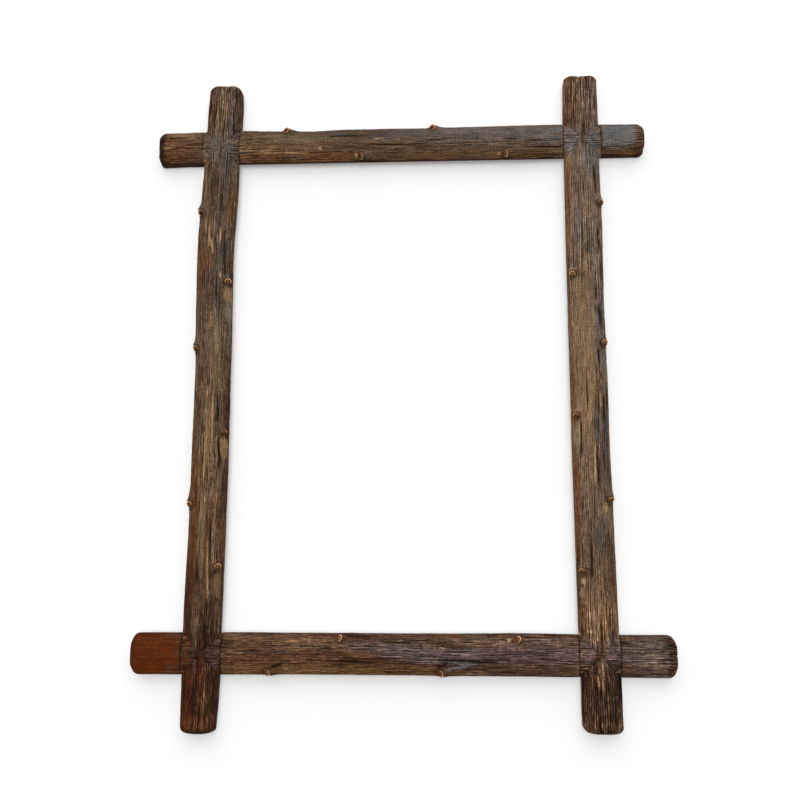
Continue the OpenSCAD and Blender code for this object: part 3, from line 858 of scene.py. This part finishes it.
def bar_cutters(name, sizes):
    """Makes each block or rod that is cut from a bar, in turn."""
    lap = sizes.lap_depth / MM
    half_w, half_h = sizes.picture_width / MM / 2, sizes.picture_height / MM / 2
    yield box_cutter((-half_w, -sizes.rebate_depth / MM, MID_Z - half_h), (half_w, PAST, MID_Z + half_h))
    if name in STILES:
        side = -1 if name == "left_stile" else 1
        spots = [(side * CROSS_X, 0), (side * CROSS_X, -RAIL_PITCH)]
        half = sizes.rail_width / MM / 2 + LAP_GAP
        for x, z in spots:
            yield box_cutter((x - CLEAR, -lap, z - half), (x + CLEAR, PAST, z + half))
        yield recess_cutter(side)
        x = side * HANGER_X
        for drop in SCREW_DROPS:
            z = HINGE_Z - drop
            yield rod_cutter((x, PAST - RECESS_DEPTH, z), (x, -PILOT_DEPTH, z), PILOT_RADIUS)
    else:
        z = 0 if name == "top_rail" else -RAIL_PITCH
        spots = [(-CROSS_X, z), (CROSS_X, z)]
        half = sizes.block_width / MM / 2 + LAP_GAP
        for x, z in spots:
            yield box_cutter((x - half, -THICK - 6, z - CLEAR), (x + half, -lap, z + CLEAR))
    for x, z in spots:
        yield rod_cutter((x, PAST, z), (x, -DOWEL_DEPTH, z), DOWEL_RADIUS + GLUE_GAP)
    to_frame = bar_matrix(name)
    for knot in BARS[name]["knots"]:
        tip, axis, _, _ = knot_axes(bar_width(name, sizes), knot, sizes)
        ends = [(to_frame @ Vector((p[0], p[2], p[1]))) / MM for p in (tip + 8 * axis, tip - 9 * axis)]
        yield rod_cutter(*ends, sizes.knot_radius / MM + GLUE_GAP)


def cut_away(piece, cutter):
    """Cuts one solid from another with a Boolean modifier, and removes the cutter."""
    cutter.data.materials.append(piece.data.materials[1])
    select_only(piece)
    cut = piece.modifiers.new("cut", "BOOLEAN")
    cut.operation = "DIFFERENCE"
    cut.solver = "MANIFOLD"
    cut.material_mode = "TRANSFER"
    cut.object = cutter
    bpy.ops.object.modifier_apply(modifier="cut")
    bpy.data.objects.remove(cutter, do_unlink=True)


# Knots


def first_knot(sizes):
    """One twig stub along Z, cut flat just above 0, with a middle point on each face."""
    depth = 8 * MM
    above = 0.15 * MM
    bpy.ops.object.select_all(action="DESELECT")
    bpy.ops.mesh.primitive_cylinder_add(
        vertices=40, radius=sizes.knot_radius, depth=depth, location=(0, 0, above - depth / 2),
        end_fill_type="NGON",
    )
    stub = bpy.context.object
    bpy.ops.object.transform_apply(location=True, rotation=True, scale=True)
    bpy.ops.object.mode_set(mode="EDIT")
    bpy.ops.mesh.select_all(action="SELECT")
    bpy.ops.mesh.poke()
    bpy.ops.object.mode_set(mode="OBJECT")
    pick_edges(stub, lambda ends: abs(ends[0].z - ends[1].z) > 0.75 * depth)
    bpy.ops.mesh.subdivide(number_cuts=7)
    bpy.ops.object.mode_set(mode="OBJECT")
    return stub


def fit_knot(master, bar_name, number, sizes, colour):
    """Copies the first knot, roughens it and sets it in its socket, its side glazed as its bar above and
    given painted shade below.
    """
    bar = BARS[bar_name]
    knot = bar["knots"][number]
    node = "knot_" + bar_name.split("_")[0] + "_" + str(number + 1)
    mesh = master.data.copy()
    piece = bpy.data.objects.new("twig_" + node, mesh)
    bpy.context.scene.collection.objects.link(piece)

    points = np.empty(len(mesh.vertices) * 3)
    mesh.vertices.foreach_get("co", points)
    points = points.reshape(-1, 3) / MM
    seed = bar["seed"] + 40 + number
    radius = sizes.knot_radius / MM
    round_at = np.arctan2(points[:, 1], points[:, 0])
    lobes, lobes_2 = 3 + 3 * np.cos(round_at), 3 + 3 * np.sin(round_at)
    share = np.hypot(points[:, 0], points[:, 1]) / radius
    proud = step(-4, -1.5, points[:, 2])
    shrink = 1 - 0.07 * proud * (0.5 + 0.5 * hills(seed, lobes, lobes_2))
    shrink -= 0.02 * proud * (0.5 + 0.5 * hills(seed + 1, points[:, 2] * 1.3, lobes * 1.5))
    points[:, :2] *= shrink[:, None]
    tip_face = step(-1.6, -0.8, points[:, 2])
    points[:, 2] += tip_face * 0.2 * hills(seed + 2, points[:, 0] * 0.7, points[:, 1] * 0.7)
    points[:, 2] -= tip_face * (0.9 * knot.dark) * step(0.62, 0.2, share)
    # Upper runs from 0 on one side of the stub to 1 on the other. The twig's material paints shade on the
    # low side and leaves the rim's painted highlight on the high side.
    upper = 0.5 - 0.5 * points[:, 1] / radius
    mesh.vertices.foreach_set("co", (points * MM).ravel())
    fields = {"ring": share, "tip": tip_face, "dark": 0 * share + knot.dark, "upper": upper}
    for key, values in fields.items():
        mesh.attributes.new(key, "FLOAT", "POINT").data.foreach_set("value", values.astype(np.float32))
    glaze = np.tile([*colour, 1], len(mesh.vertices)).astype(np.float32)
    mesh.attributes.new("glaze", "FLOAT_COLOR", "POINT").data.foreach_set("color", glaze)

    # From the stub's own Z to the socket's axis, and from its bar's X, C and Y to the frame
    tip, axis, _, level = knot_axes(bar_width(bar_name, sizes), knot, sizes)
    third = np.cross(level, axis)
    third /= np.linalg.norm(third)
    first = np.cross(axis, third)
    turn = Matrix([[*first, 0], [*third, 0], [*axis, 0], [0, 0, 0, 1]]).transposed()
    swap = Matrix(((1, 0, 0, 0), (0, 0, 1, 0), (0, 1, 0, 0), (0, 0, 0, 1)))
    to_frame = bar_matrix(bar_name) @ swap @ Matrix.Translation(tip) @ turn @ Matrix.Scale(1 / MM, 4)
    mesh.transform(to_frame)
    if to_frame.determinant() < 0:
        mesh.flip_normals()
    select_only(piece)
    bpy.ops.object.shade_smooth_by_angle(angle=math.radians(60))
    mesh.materials.append(bpy.data.materials["Whittled twig, oiled"])
    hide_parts(node)
    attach(piece, "frame")


# Materials


def add(tree, kind, inputs=(), stops=(), **settings):
    """Adds a node with its settings, its inputs by name or in turn, and a colour ramp's stops.

    An input is given a value, the socket that it is linked to, or a node for that node's first socket.
    """
    node = tree.nodes.new(kind)
    for key, value in settings.items():
        setattr(node, key, value)
    for key, value in inputs.items() if isinstance(inputs, dict) else enumerate(inputs):
        if isinstance(value, bpy.types.Node):
            value = value.outputs[0]
        if isinstance(value, bpy.types.NodeSocket):
            tree.links.new(value, node.inputs[key])
        else:
            node.inputs[key].default_value = value
    for position, colour in stops[1:-1]:
        node.color_ramp.elements.new(position)
    for number, (position, colour) in enumerate(stops):
        node.color_ramp.elements[number].position = position
        node.color_ramp.elements[number].color = (*colour, 1)
    return node


def blank_material(name):
    """A material and its empty node tree."""
    material = bpy.data.materials.new(name)
    material.use_nodes = True
    material.node_tree.nodes.clear()
    return material, material.node_tree


def carved_wood(name):
    """Pine carved like bark and glazed: long soft streaks, matt in the cuts and satin on the ridges."""
    material, tree = blank_material("Bark-carved pine, brown glaze, " + name.replace("_", " "))
    grain = add(tree, "ShaderNodeUVMap", uv_map="grain")
    stain = add(tree, "ShaderNodeAttribute", attribute_name="stain")
    groove = add(tree, "ShaderNodeAttribute", attribute_name="groove").outputs["Fac"]
    # Fibres are 0.7 mm wide and about 12 mm long, with splits of half that and less
    along = add(tree, "ShaderNodeMapping", {"Vector": grain, "Scale": (1 / 0.012, 1 / 0.0007, 1)})
    fibre = add(
        tree, "ShaderNodeTexNoise", {"Vector": along, "Scale": 1, "Detail": 4, "Roughness": 0.62},
        noise_dimensions="2D",
    )
    # Pores and nicks are about 0.9 mm wide and 2 mm long
    nick_place = add(tree, "ShaderNodeMapping", {"Vector": grain, "Scale": (1 / 0.0018, 1 / 0.0009, 1)})
    nicks = add(
        tree, "ShaderNodeTexNoise", {"Vector": nick_place, "Scale": 1, "Detail": 3, "Roughness": 0.6},
        noise_dimensions="2D",
    )
    streaks = add(
        tree, "ShaderNodeMapRange",
        {"Value": fibre, "From Min": 0.32, "From Max": 0.68, "To Min": 0.6, "To Max": 1.4},
    )
    specks = add(
        tree, "ShaderNodeMapRange",
        {"Value": nicks, "From Min": 0.36, "From Max": 0.64, "To Min": 0.62, "To Max": 1.38},
    )
    light = add(tree, "ShaderNodeMath", (streaks, specks), operation="MULTIPLY")
    streaked = add(tree, "ShaderNodeHueSaturation", {"Color": stain, "Value": light, "Saturation": 1.05})
    # Darker in the grooves
    groove_darkening = add(tree, "ShaderNodeMath", (groove, 0.35), operation="MULTIPLY")
    colour = add(
        tree, "ShaderNodeMix", {0: groove_darkening, 6: streaked, 7: (*linear("#1b120c"), 1)}, data_type="RGBA"
    ).outputs[2]
    dull = add(tree, "ShaderNodeMapRange", {"Value": groove, "To Min": 0.52, "To Max": 0.85})
    rough = add(tree, "ShaderNodeMath", (nicks, 0.2, dull), operation="MULTIPLY_ADD")
    relief = add(tree, "ShaderNodeMath", (nicks, 0.6, fibre), operation="MULTIPLY_ADD")
    bump = add(tree, "ShaderNodeBump", {"Height": relief, "Strength": 0.8, "Distance": 0.0007})
    shader = add(
        tree, "ShaderNodeBsdfPrincipled",
        {"Base Color": colour, "Roughness": rough, "Normal": bump, "Specular IOR Level": 0.05},
    )
    add(tree, "ShaderNodeOutputMaterial", (shader,))
    return material


def planed_wood(name, colours):
    """Planed pine under a thin brown stain: flat, with straight annual rings and fine pores."""
    material, tree = blank_material("Planed pine, thin stain, " + name.replace("_", " "))
    place = add(tree, "ShaderNodeTexCoord").outputs["Object"]
    # Annual rings are about 3 mm apart and run with the bar
    across, along = 1 / 0.003, 1 / 0.12
    scale = (across, across, along) if name in STILES else (along, across, across)
    lie = add(tree, "ShaderNodeMapping", {"Vector": place, "Scale": scale})
    rings = add(
        tree, "ShaderNodeTexNoise",
        {"Vector": lie, "Scale": 1, "Detail": 4, "Roughness": 0.55, "Distortion": 0.3},
    )
    ramp = add(
        tree, "ShaderNodeValToRGB", (rings,), [(0.3, colours.stained_late), (0.68, colours.stained_early)]
    )
    pore = add(tree, "ShaderNodeTexNoise", {"Vector": place, "Scale": 1 / 0.0012, "Detail": 2})
    rough = add(tree, "ShaderNodeMapRange", {"Value": pore, "To Min": 0.55, "To Max": 0.8})
    bump = add(tree, "ShaderNodeBump", {"Height": rings, "Strength": 0.35, "Distance": 0.0003})
    shader = add(
        tree, "ShaderNodeBsdfPrincipled",
        {"Base Color": ramp, "Roughness": rough, "Normal": bump, "Specular IOR Level": 0.35},
    )
    add(tree, "ShaderNodeOutputMaterial", (shader,))
    return material


def twig_end(colours):
    """A whittled twig's end, oiled: orange-tan rim, dark growth ring, brown core and its bar's glaze at its
    side, with painted shade on the lower part of the end and of the side, which leaves the rim's upper part
    as a painted highlight.
    """
    tree = blank_material("Whittled twig, oiled")[1]
    place = add(tree, "ShaderNodeTexCoord").outputs["Object"]
    ring, tip, dark, upper = (
        add(tree, "ShaderNodeAttribute", attribute_name=key).outputs["Fac"]
        for key in ("ring", "tip", "dark", "upper")
    )
    # The knife leaves facets about 1.2 mm wide
    facets = add(tree, "ShaderNodeTexNoise", {"Vector": place, "Scale": 1 / 0.0012, "Detail": 3})
    wobble = add(tree, "ShaderNodeMath", (facets, 0.24, ring), operation="MULTIPLY_ADD")
    moved = add(tree, "ShaderNodeMath", (wobble, 0.12), operation="SUBTRACT")
    # The rim is partly a painted highlight: its pale colour is kept bright for where the painted shade
    # leaves it, on the end's upper part
    core, pith, rim = colours.knot_core, colours.knot_pith, colours.knot_rim
    stops = [(0, core), (0.34, core), (0.46, pith), (0.66, pith), (0.76, rim), (0.91, rim)]
    ramp = add(tree, "ShaderNodeValToRGB", (moved,), stops + [(0.97, colours.umber)])
    # Glaze kept in patches about 2.5 mm wide, the hollow of a dark knot, and painted shade over the lower
    # part of the end
    patch = add(tree, "ShaderNodeTexNoise", {"Vector": place, "Scale": 1 / 0.0025, "Detail": 1})
    worn = add(
        tree, "ShaderNodeMapRange",
        {"Value": patch, "From Min": 0.5, "From Max": 0.64, "To Min": 0, "To Max": 0.4},
    )
    inside = add(
        tree, "ShaderNodeMapRange",
        {"Value": moved, "From Min": 0.45, "From Max": 0.62, "To Min": 1, "To Max": 0},
    )
    hollow = add(tree, "ShaderNodeMath", (inside, dark), operation="MULTIPLY")
    # Painted shade on the lower part of the end, up to 0.85 of the way to the pith colour
    under = add(
        tree, "ShaderNodeMapRange",
        {"Value": upper, "From Min": 0.3, "From Max": 0.8, "To Min": 0.85, "To Max": 0},
    )
    shaded = add(tree, "ShaderNodeMath", (hollow, under), operation="MAXIMUM")
    glazed = add(tree, "ShaderNodeMix", {0: worn, 6: ramp, 7: (*colours.chestnut, 1)}, data_type="RGBA")
    face = add(tree, "ShaderNodeMix", {0: shaded, 6: glazed.outputs[2], 7: (*pith, 1)}, data_type="RGBA")
    # The stub's side: its bar's glaze in broken streaks on the upper part, and painted shade in soot on the
    # lower part
    glaze = add(tree, "ShaderNodeAttribute", attribute_name="glaze")
    broken = add(
        tree, "ShaderNodeMapRange",
        {"Value": facets, "From Min": 0.35, "From Max": 0.6, "To Min": 0.45, "To Max": 1.1},
    )
    streaked = add(tree, "ShaderNodeMath", (upper, broken), operation="MULTIPLY")
    bark = add(tree, "ShaderNodeMix", {0: streaked, 6: (*colours.soot, 1), 7: glaze}, data_type="RGBA")
    whole = add(tree, "ShaderNodeMix", {0: tip, 6: bark.outputs[2], 7: face.outputs[2]}, data_type="RGBA")
    rough = add(tree, "ShaderNodeMapRange", {"Value": facets, "To Min": 0.45, "To Max": 0.75})
    bump = add(tree, "ShaderNodeBump", {"Height": facets, "Strength": 0.6, "Distance": 0.0004})
    shader = add(
        tree, "ShaderNodeBsdfPrincipled",
        {"Base Color": whole.outputs[2], "Roughness": rough, "Normal": bump, "Specular IOR Level": 0.12},
    )
    add(tree, "ShaderNodeOutputMaterial", (shader,))


def dowel_wood(colours):
    """Turned beech: pale end grain with short dark rays, dry and matt."""
    material, tree = blank_material("Beech dowel, plain")
    place = add(tree, "ShaderNodeTexCoord").outputs["Object"]
    # Rays show as flecks about 0.6 mm wide
    flecks = add(tree, "ShaderNodeTexNoise", {"Vector": place, "Scale": 1 / 0.0006, "Detail": 3})
    growth = add(
        tree, "ShaderNodeTexWave", {"Vector": place, "Scale": 1 / 0.011, "Distortion": 2.5, "Detail": 2},
        wave_type="BANDS", bands_direction="DIAGONAL",
    ).outputs["Fac"]
    both = add(tree, "ShaderNodeMath", (growth, 0.5, flecks), operation="MULTIPLY_ADD")
    ramp = add(tree, "ShaderNodeValToRGB", (both,), [(0.4, linear("#a5794d")), (0.95, colours.beech)])
    bump = add(tree, "ShaderNodeBump", {"Height": flecks, "Strength": 0.3, "Distance": 0.0002})
    shader = add(tree, "ShaderNodeBsdfPrincipled", {"Base Color": ramp, "Normal": bump, "Roughness": 0.7})
    add(tree, "ShaderNodeOutputMaterial", (shader,))
    return material


def brass(name, colours, lie, low, high):
    """Brass: warm yellow metal, browned in patches by handling, with the lines its making left."""
    material, tree = blank_material(name)
    place = add(tree, "ShaderNodeTexCoord").outputs["Object"]
    # Tarnish lies in patches about 6 mm wide
    tarnish = add(
        tree, "ShaderNodeTexNoise", {"Vector": place, "Scale": 1 / 0.006, "Detail": 4, "Roughness": 0.6}
    )
    ramp = add(tree, "ShaderNodeValToRGB", (tarnish,), [(0.32, colours.tarnish), (0.6, colours.brass)])
    drawn = add(tree, "ShaderNodeMapping", {"Vector": place, "Scale": lie})
    lines = add(tree, "ShaderNodeTexNoise", {"Vector": drawn, "Scale": 1, "Detail": 2})
    both = add(tree, "ShaderNodeMath", (lines, 0.4, tarnish), operation="MULTIPLY_ADD")
    rough = add(
        tree, "ShaderNodeMapRange",
        {"Value": both, "From Min": 0.4, "From Max": 1, "To Min": high, "To Max": low},
    )
    bump = add(tree, "ShaderNodeBump", {"Height": lines, "Strength": 0.25, "Distance": 0.0001})
    shader = add(
        tree, "ShaderNodeBsdfPrincipled",
        {"Base Color": ramp, "Roughness": rough, "Normal": bump, "Metallic": 1},
    )
    add(tree, "ShaderNodeOutputMaterial", (shader,))
    return material


def finish_node(node, material):
    """Gives a CAD node its material in every slot."""
    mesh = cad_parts[node].data
    if not mesh.materials:
        mesh.materials.append(material)
    for index in range(len(mesh.materials)):
        mesh.materials[index] = material


# Stage


def backdrop_card():
    """White studio card: pure white with a soft shadow, throws little light back, clear from behind."""
    material, tree = blank_material("White studio card, matt")
    ray = add(tree, "ShaderNodeLightPath").outputs
    side = add(tree, "ShaderNodeNewGeometry").outputs
    card = add(tree, "ShaderNodeBsdfDiffuse", {"Color": (0.78, 0.78, 0.78, 1)})
    glow = add(tree, "ShaderNodeEmission", {"Color": (1, 1, 1, 1), "Strength": 0.24})
    dim = add(tree, "ShaderNodeBsdfDiffuse", {"Color": (0.2, 0.2, 0.2, 1)})
    lit = add(tree, "ShaderNodeAddShader", (card, glow))
    seen = add(tree, "ShaderNodeMixShader", (ray["Is Camera Ray"], dim, lit))
    white = add(tree, "ShaderNodeEmission", {"Color": (1, 1, 1, 1), "Strength": 1})
    mirrored = add(
        tree, "ShaderNodeMath", (ray["Is Glossy Ray"], ray["Is Transmission Ray"]), operation="MAXIMUM"
    )
    shown = add(tree, "ShaderNodeMixShader", (mirrored, seen, white))
    clear = add(tree, "ShaderNodeBsdfTransparent")
    passes = add(tree, "ShaderNodeMath", (side["Backfacing"], ray["Is Shadow Ray"]), operation="MAXIMUM")
    final = add(tree, "ShaderNodeMixShader", (passes, shown, clear))
    add(tree, "ShaderNodeOutputMaterial", (final,))
    return material


def build_backdrop():
    """A wall just behind the frame that curves out into a floor below it, as one sheet."""
    bpy.ops.object.select_all(action="DESELECT")
    bpy.ops.mesh.primitive_plane_add(size=1)
    sheet = bpy.context.object
    sheet.name = "studio_sheet"
    floor, wall, reach, high = -0.95, 0.0006, 3.0, 2.2
    for vertex in sheet.data.vertices:
        vertex.co = (math.copysign(reach, vertex.co.x), -reach if vertex.co.y < 0 else wall, floor)
    pick_edges(sheet, lambda ends: all(abs(end.y - wall) < 1e-4 for end in ends))
    bpy.ops.mesh.extrude_region_move(TRANSFORM_OT_translate={"value": (0, 0, high - floor)})
    pick_edges(sheet, lambda ends: all(abs(end.y - wall) + abs(end.z - floor) < 1e-4 for end in ends))
    bpy.ops.mesh.bevel(offset=0.2, segments=12)
    bpy.ops.mesh.select_all(action="SELECT")
    bpy.ops.mesh.normals_make_consistent(inside=False)
    bpy.ops.object.mode_set(mode="OBJECT")
    if max(sheet.data.polygons, key=lambda face: face.area).normal.z < -0.5:
        sheet.data.flip_normals()
    elif min(face.normal.y for face in sheet.data.polygons) > -0.5:
        sheet.data.flip_normals()
    bpy.ops.object.shade_smooth_by_angle(angle=math.radians(40))
    sheet.data.materials.append(backdrop_card())


def build_light():
    """A broad lamp above the front, a soft one beside the camera, one for the back, and a dim room."""
    # Each lamp's strength, how many degrees wide it is, and the turn and pitch of its light
    lamps = [
        ("lamp_above", 1.8, 90, (0, -60)),
        ("lamp_front", 1.4, 30, (0, 0)),
        ("lamp_behind", 1.5, 60, (172, -35)),
    ]
    for name, strength, spread, (turn, pitch) in lamps:
        bpy.ops.object.light_add(type="SUN")
        lamp = bpy.context.object
        lamp.name = name
        lamp.data.energy = strength
        lamp.data.angle = math.radians(spread)
        a, e = math.radians(turn), math.radians(pitch)
        way = Vector((math.sin(a) * math.cos(e), math.cos(a) * math.cos(e), math.sin(e)))
        lamp.rotation_euler = way.to_track_quat("-Z", "Y").to_euler()
    world = bpy.data.worlds.new("White room")
    bpy.context.scene.world = world
    world.use_nodes = True
    tree = world.node_tree
    tree.nodes.clear()
    ray = add(tree, "ShaderNodeLightPath").outputs
    mirrored = add(
        tree, "ShaderNodeMath", (ray["Is Glossy Ray"], ray["Is Transmission Ray"]), operation="MAXIMUM"
    )
    plain = add(tree, "ShaderNodeMath", (ray["Is Camera Ray"], mirrored), operation="MAXIMUM")
    room = add(tree, "ShaderNodeBackground", {"Color": (1, 1, 1, 1), "Strength": 0.32})
    white = add(tree, "ShaderNodeBackground", {"Color": (1, 1, 1, 1), "Strength": 1})
    final = add(tree, "ShaderNodeMixShader", (plain, room, white))
    add(tree, "ShaderNodeOutputWorld", (final,))


def build_camera():
    """A camera a metre off, a little below the middle and looking up by 12 degrees."""
    bpy.ops.object.camera_add(location=(0.05294, -1.04048, -0.49236))
    camera = bpy.context.object
    camera.data.sensor_width = 36
    camera.data.lens = 47.25
    upright = Matrix(((1, 0, 0), (0, 0, -1), (0, 1, 0)))
    turn = (
        Matrix.Rotation(math.radians(2.923), 3, "Z")
        @ Matrix.Rotation(math.radians(11.894), 3, "X")
        @ Matrix.Rotation(math.radians(-0.155), 3, "Y")
    )
    camera.rotation_euler = (turn @ upright).to_euler()
    bpy.context.scene.camera = camera


# What a user can change

COLOURS = {
    "bark": "#5c4a3c",
    "drift": "#685647",
    "cocoa": "#453026",
    "umber": "#463529",
    "tan": "#7a634b",
    "straw": "#9c7d5c",
    "pale": "#a98f6e",
    "ochre": "#624a30",
    "olive": "#7a6e58",
    "grey": "#675f5a",
    "slate": "#474442",
    "ash": "#6d6b6a",
    "chestnut": "#65442d",
    "plum": "#5c4e4d",
    "frost": "#66686f",
    "steel": "#585e60",
    "russet": "#542610",
    "oxblood": "#3b2118",
    "soot": "#26180f",
    "resin": "#381c06",
    "stained_late": "#4a3323",
    "stained_early": "#6e5138",
    "knot_rim": "#ffbe82",
    "knot_core": "#b88350",
    "knot_pith": "#2c1507",
    "beech": "#cba878",
    "brass": "#c9a256",
    "tarnish": "#8a6b35",
}


def length(name, description, default):
    """A size that a user can change, from its default in millimetres."""
    return bpy.props.FloatProperty(
        name=name, description=description, default=default * MM, min=0, unit="LENGTH", subtype="DISTANCE"
    )


class FrameSizes(bpy.types.PropertyGroup):
    """Sizes of the wooden frame."""

    stile_width: length("Stile width", "Width of an upright bar where it is carved", BLOCK_WIDTH - 3)
    rail_width: length("Rail width", "Width of a level bar", TOP_HIGH.z - TOP_LOW.z)
    block_width: length("Block width", "Width of a stile's block at a crossing", BLOCK_WIDTH)
    side_height: length("Side height", "Height of a bar's straight side below its crown", 11.5)
    lap_depth: length("Lap depth", "Depth of wood that each bar keeps at a crossing", 10)
    picture_width: length("Picture width", "Width of the picture space", 354)
    picture_height: length("Picture height", "Height of the picture space", 496)
    rebate_depth: length("Rebate depth", "Depth of the picture space from the back", 8)
    end_radius: length("End radius", "Rounding of a bar's ends seen from the front", END_RADIUS)
    end_roll: length("End roll", "Rounding of a bar's ends towards the front", 6)
    fibre_pitch: length("Fibre pitch", "Distance between the bark's ribs", 2)
    groove_depth: length("Groove depth", "Depth of a bark groove", 0.7)
    glaze_contrast: bpy.props.FloatProperty(
        name="Glaze contrast", description="How much lighter ridges are than cuts",
        default=0.28, min=0, max=1,
    )
    knot_radius: length("Knot radius", "Radius of a twig stub", 4)
    knot_proud: length("Knot height", "How far a whittled stub stands above its plain one", 1)


class FrameColours(bpy.types.PropertyGroup):
    """Colours of the glazes, the wood and the brass."""

    __annotations__ = {
        key: bpy.props.FloatVectorProperty(
            name=key.replace("_", " ").capitalize(),
            description="Colour of the " + key.replace("_", " "),
            default=linear(text),
            subtype="COLOR",
            min=0,
            max=1,
        )
        for key, text in COLOURS.items()
    }


class FRAME_OT_carve_stiles(bpy.types.Operator):
    """Carve the two upright bars with their crossing blocks"""

    bl_idname = "wooden_frame.carve_stiles"
    bl_label = "Carve Stiles"

    def execute(self, context):
        for name in STILES:
            carve_bar(name, context.scene.frame_sizes, context.scene.frame_colours)
        return {"FINISHED"}


class FRAME_OT_carve_rails(bpy.types.Operator):
    """Carve the two level bars"""

    bl_idname = "wooden_frame.carve_rails"
    bl_label = "Carve Rails"

    def execute(self, context):
        for name in RAILS:
            carve_bar(name, context.scene.frame_sizes, context.scene.frame_colours)
        return {"FINISHED"}


class FRAME_OT_fit_knots(bpy.types.Operator):
    """Whittle one twig stub and fit copies of it in the sockets"""

    bl_idname = "wooden_frame.fit_knots"
    bl_label = "Fit Knots"

    def execute(self, context):
        sizes = context.scene.frame_sizes
        colours = context.scene.frame_colours
        twig_end(colours)
        master = first_knot(sizes)
        for name, bar in BARS.items():
            for number in range(len(bar["knots"])):
                fit_knot(master, name, number, sizes, getattr(colours, bar["base"]))
        bpy.data.objects.remove(master, do_unlink=True)
        return {"FINISHED"}


class FRAME_OT_finish_dowels(bpy.types.Operator):
    """Give the corner dowels their plain beech"""

    bl_idname = "wooden_frame.finish_dowels"
    bl_label = "Finish Dowels"

    def execute(self, context):
        finish_node("corner_dowels", dowel_wood(context.scene.frame_colours))
        return {"FINISHED"}


class FRAME_OT_finish_hangers(bpy.types.Operator):
    """Give the hanger straps, rings and screws their brass"""

    bl_idname = "wooden_frame.finish_hangers"
    bl_label = "Finish Hangers"

    def execute(self, context):
        colours = context.scene.frame_colours
        # Rolled strip keeps fine lines along its length, wire round it, and a screw's head is turned smooth
        strap = brass("Rolled brass strip, dulled", colours, (1 / 0.0004, 1 / 0.0004, 1 / 0.02), 0.3, 0.5)
        wire = brass("Drawn brass wire, handled", colours, (1 / 0.004, 1 / 0.0008, 1 / 0.0008), 0.22, 0.42)
        screw = brass("Turned brass, satin", colours, (1 / 0.002, 1 / 0.002, 1 / 0.002), 0.25, 0.4)
        for side in ("left", "right"):
            finish_node(side + "_hanger_strap", strap)
            finish_node(side + "_hanger_ring", wire)
        finish_node("hanger_screws", screw)
        return {"FINISHED"}


class FRAME_OT_set_stage(bpy.types.Operator):
    """Set up the white sheet, the lamps and the camera"""

    bl_idname = "wooden_frame.set_stage"
    bl_label = "Set Stage"

    def execute(self, context):
        build_backdrop()
        build_light()
        build_camera()
        context.scene.view_settings.view_transform = "Standard"
        return {"FINISHED"}


class FRAME_PT_panel(bpy.types.Panel):
    """Lists the frame's steps, sizes and colours"""

    bl_idname = "FRAME_PT_panel"
    bl_label = "Wooden Frame"
    bl_space_type = "VIEW_3D"
    bl_region_type = "UI"
    bl_category = "Wooden Frame"

    def draw(self, context):
        layout = self.layout
        for operator in OPERATORS:
            layout.operator(operator.bl_idname)
        for group in (context.scene.frame_sizes, context.scene.frame_colours):
            column = layout.column()
            for key in group.__annotations__:
                column.prop(group, key)


OPERATORS = (
    FRAME_OT_carve_stiles,
    FRAME_OT_carve_rails,
    FRAME_OT_fit_knots,
    FRAME_OT_finish_dowels,
    FRAME_OT_finish_hangers,
    FRAME_OT_set_stage,
)
CLASSES = (FrameSizes, FrameColours, *OPERATORS, FRAME_PT_panel)


def register():
    for item in CLASSES:
        bpy.utils.register_class(item)
    bpy.types.Scene.frame_sizes = bpy.props.PointerProperty(type=FrameSizes)
    bpy.types.Scene.frame_colours = bpy.props.PointerProperty(type=FrameColours)


def unregister():
    del bpy.types.Scene.frame_colours
    del bpy.types.Scene.frame_sizes
    for item in reversed(CLASSES):
        bpy.utils.unregister_class(item)


def main():
    """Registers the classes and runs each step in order."""
    register()
    bpy.ops.wooden_frame.carve_stiles()
    bpy.ops.wooden_frame.carve_rails()
    bpy.ops.wooden_frame.fit_knots()
    bpy.ops.wooden_frame.finish_dowels()
    bpy.ops.wooden_frame.finish_hangers()
    bpy.ops.wooden_frame.set_stage()


if __name__ == "__main__":
    main()
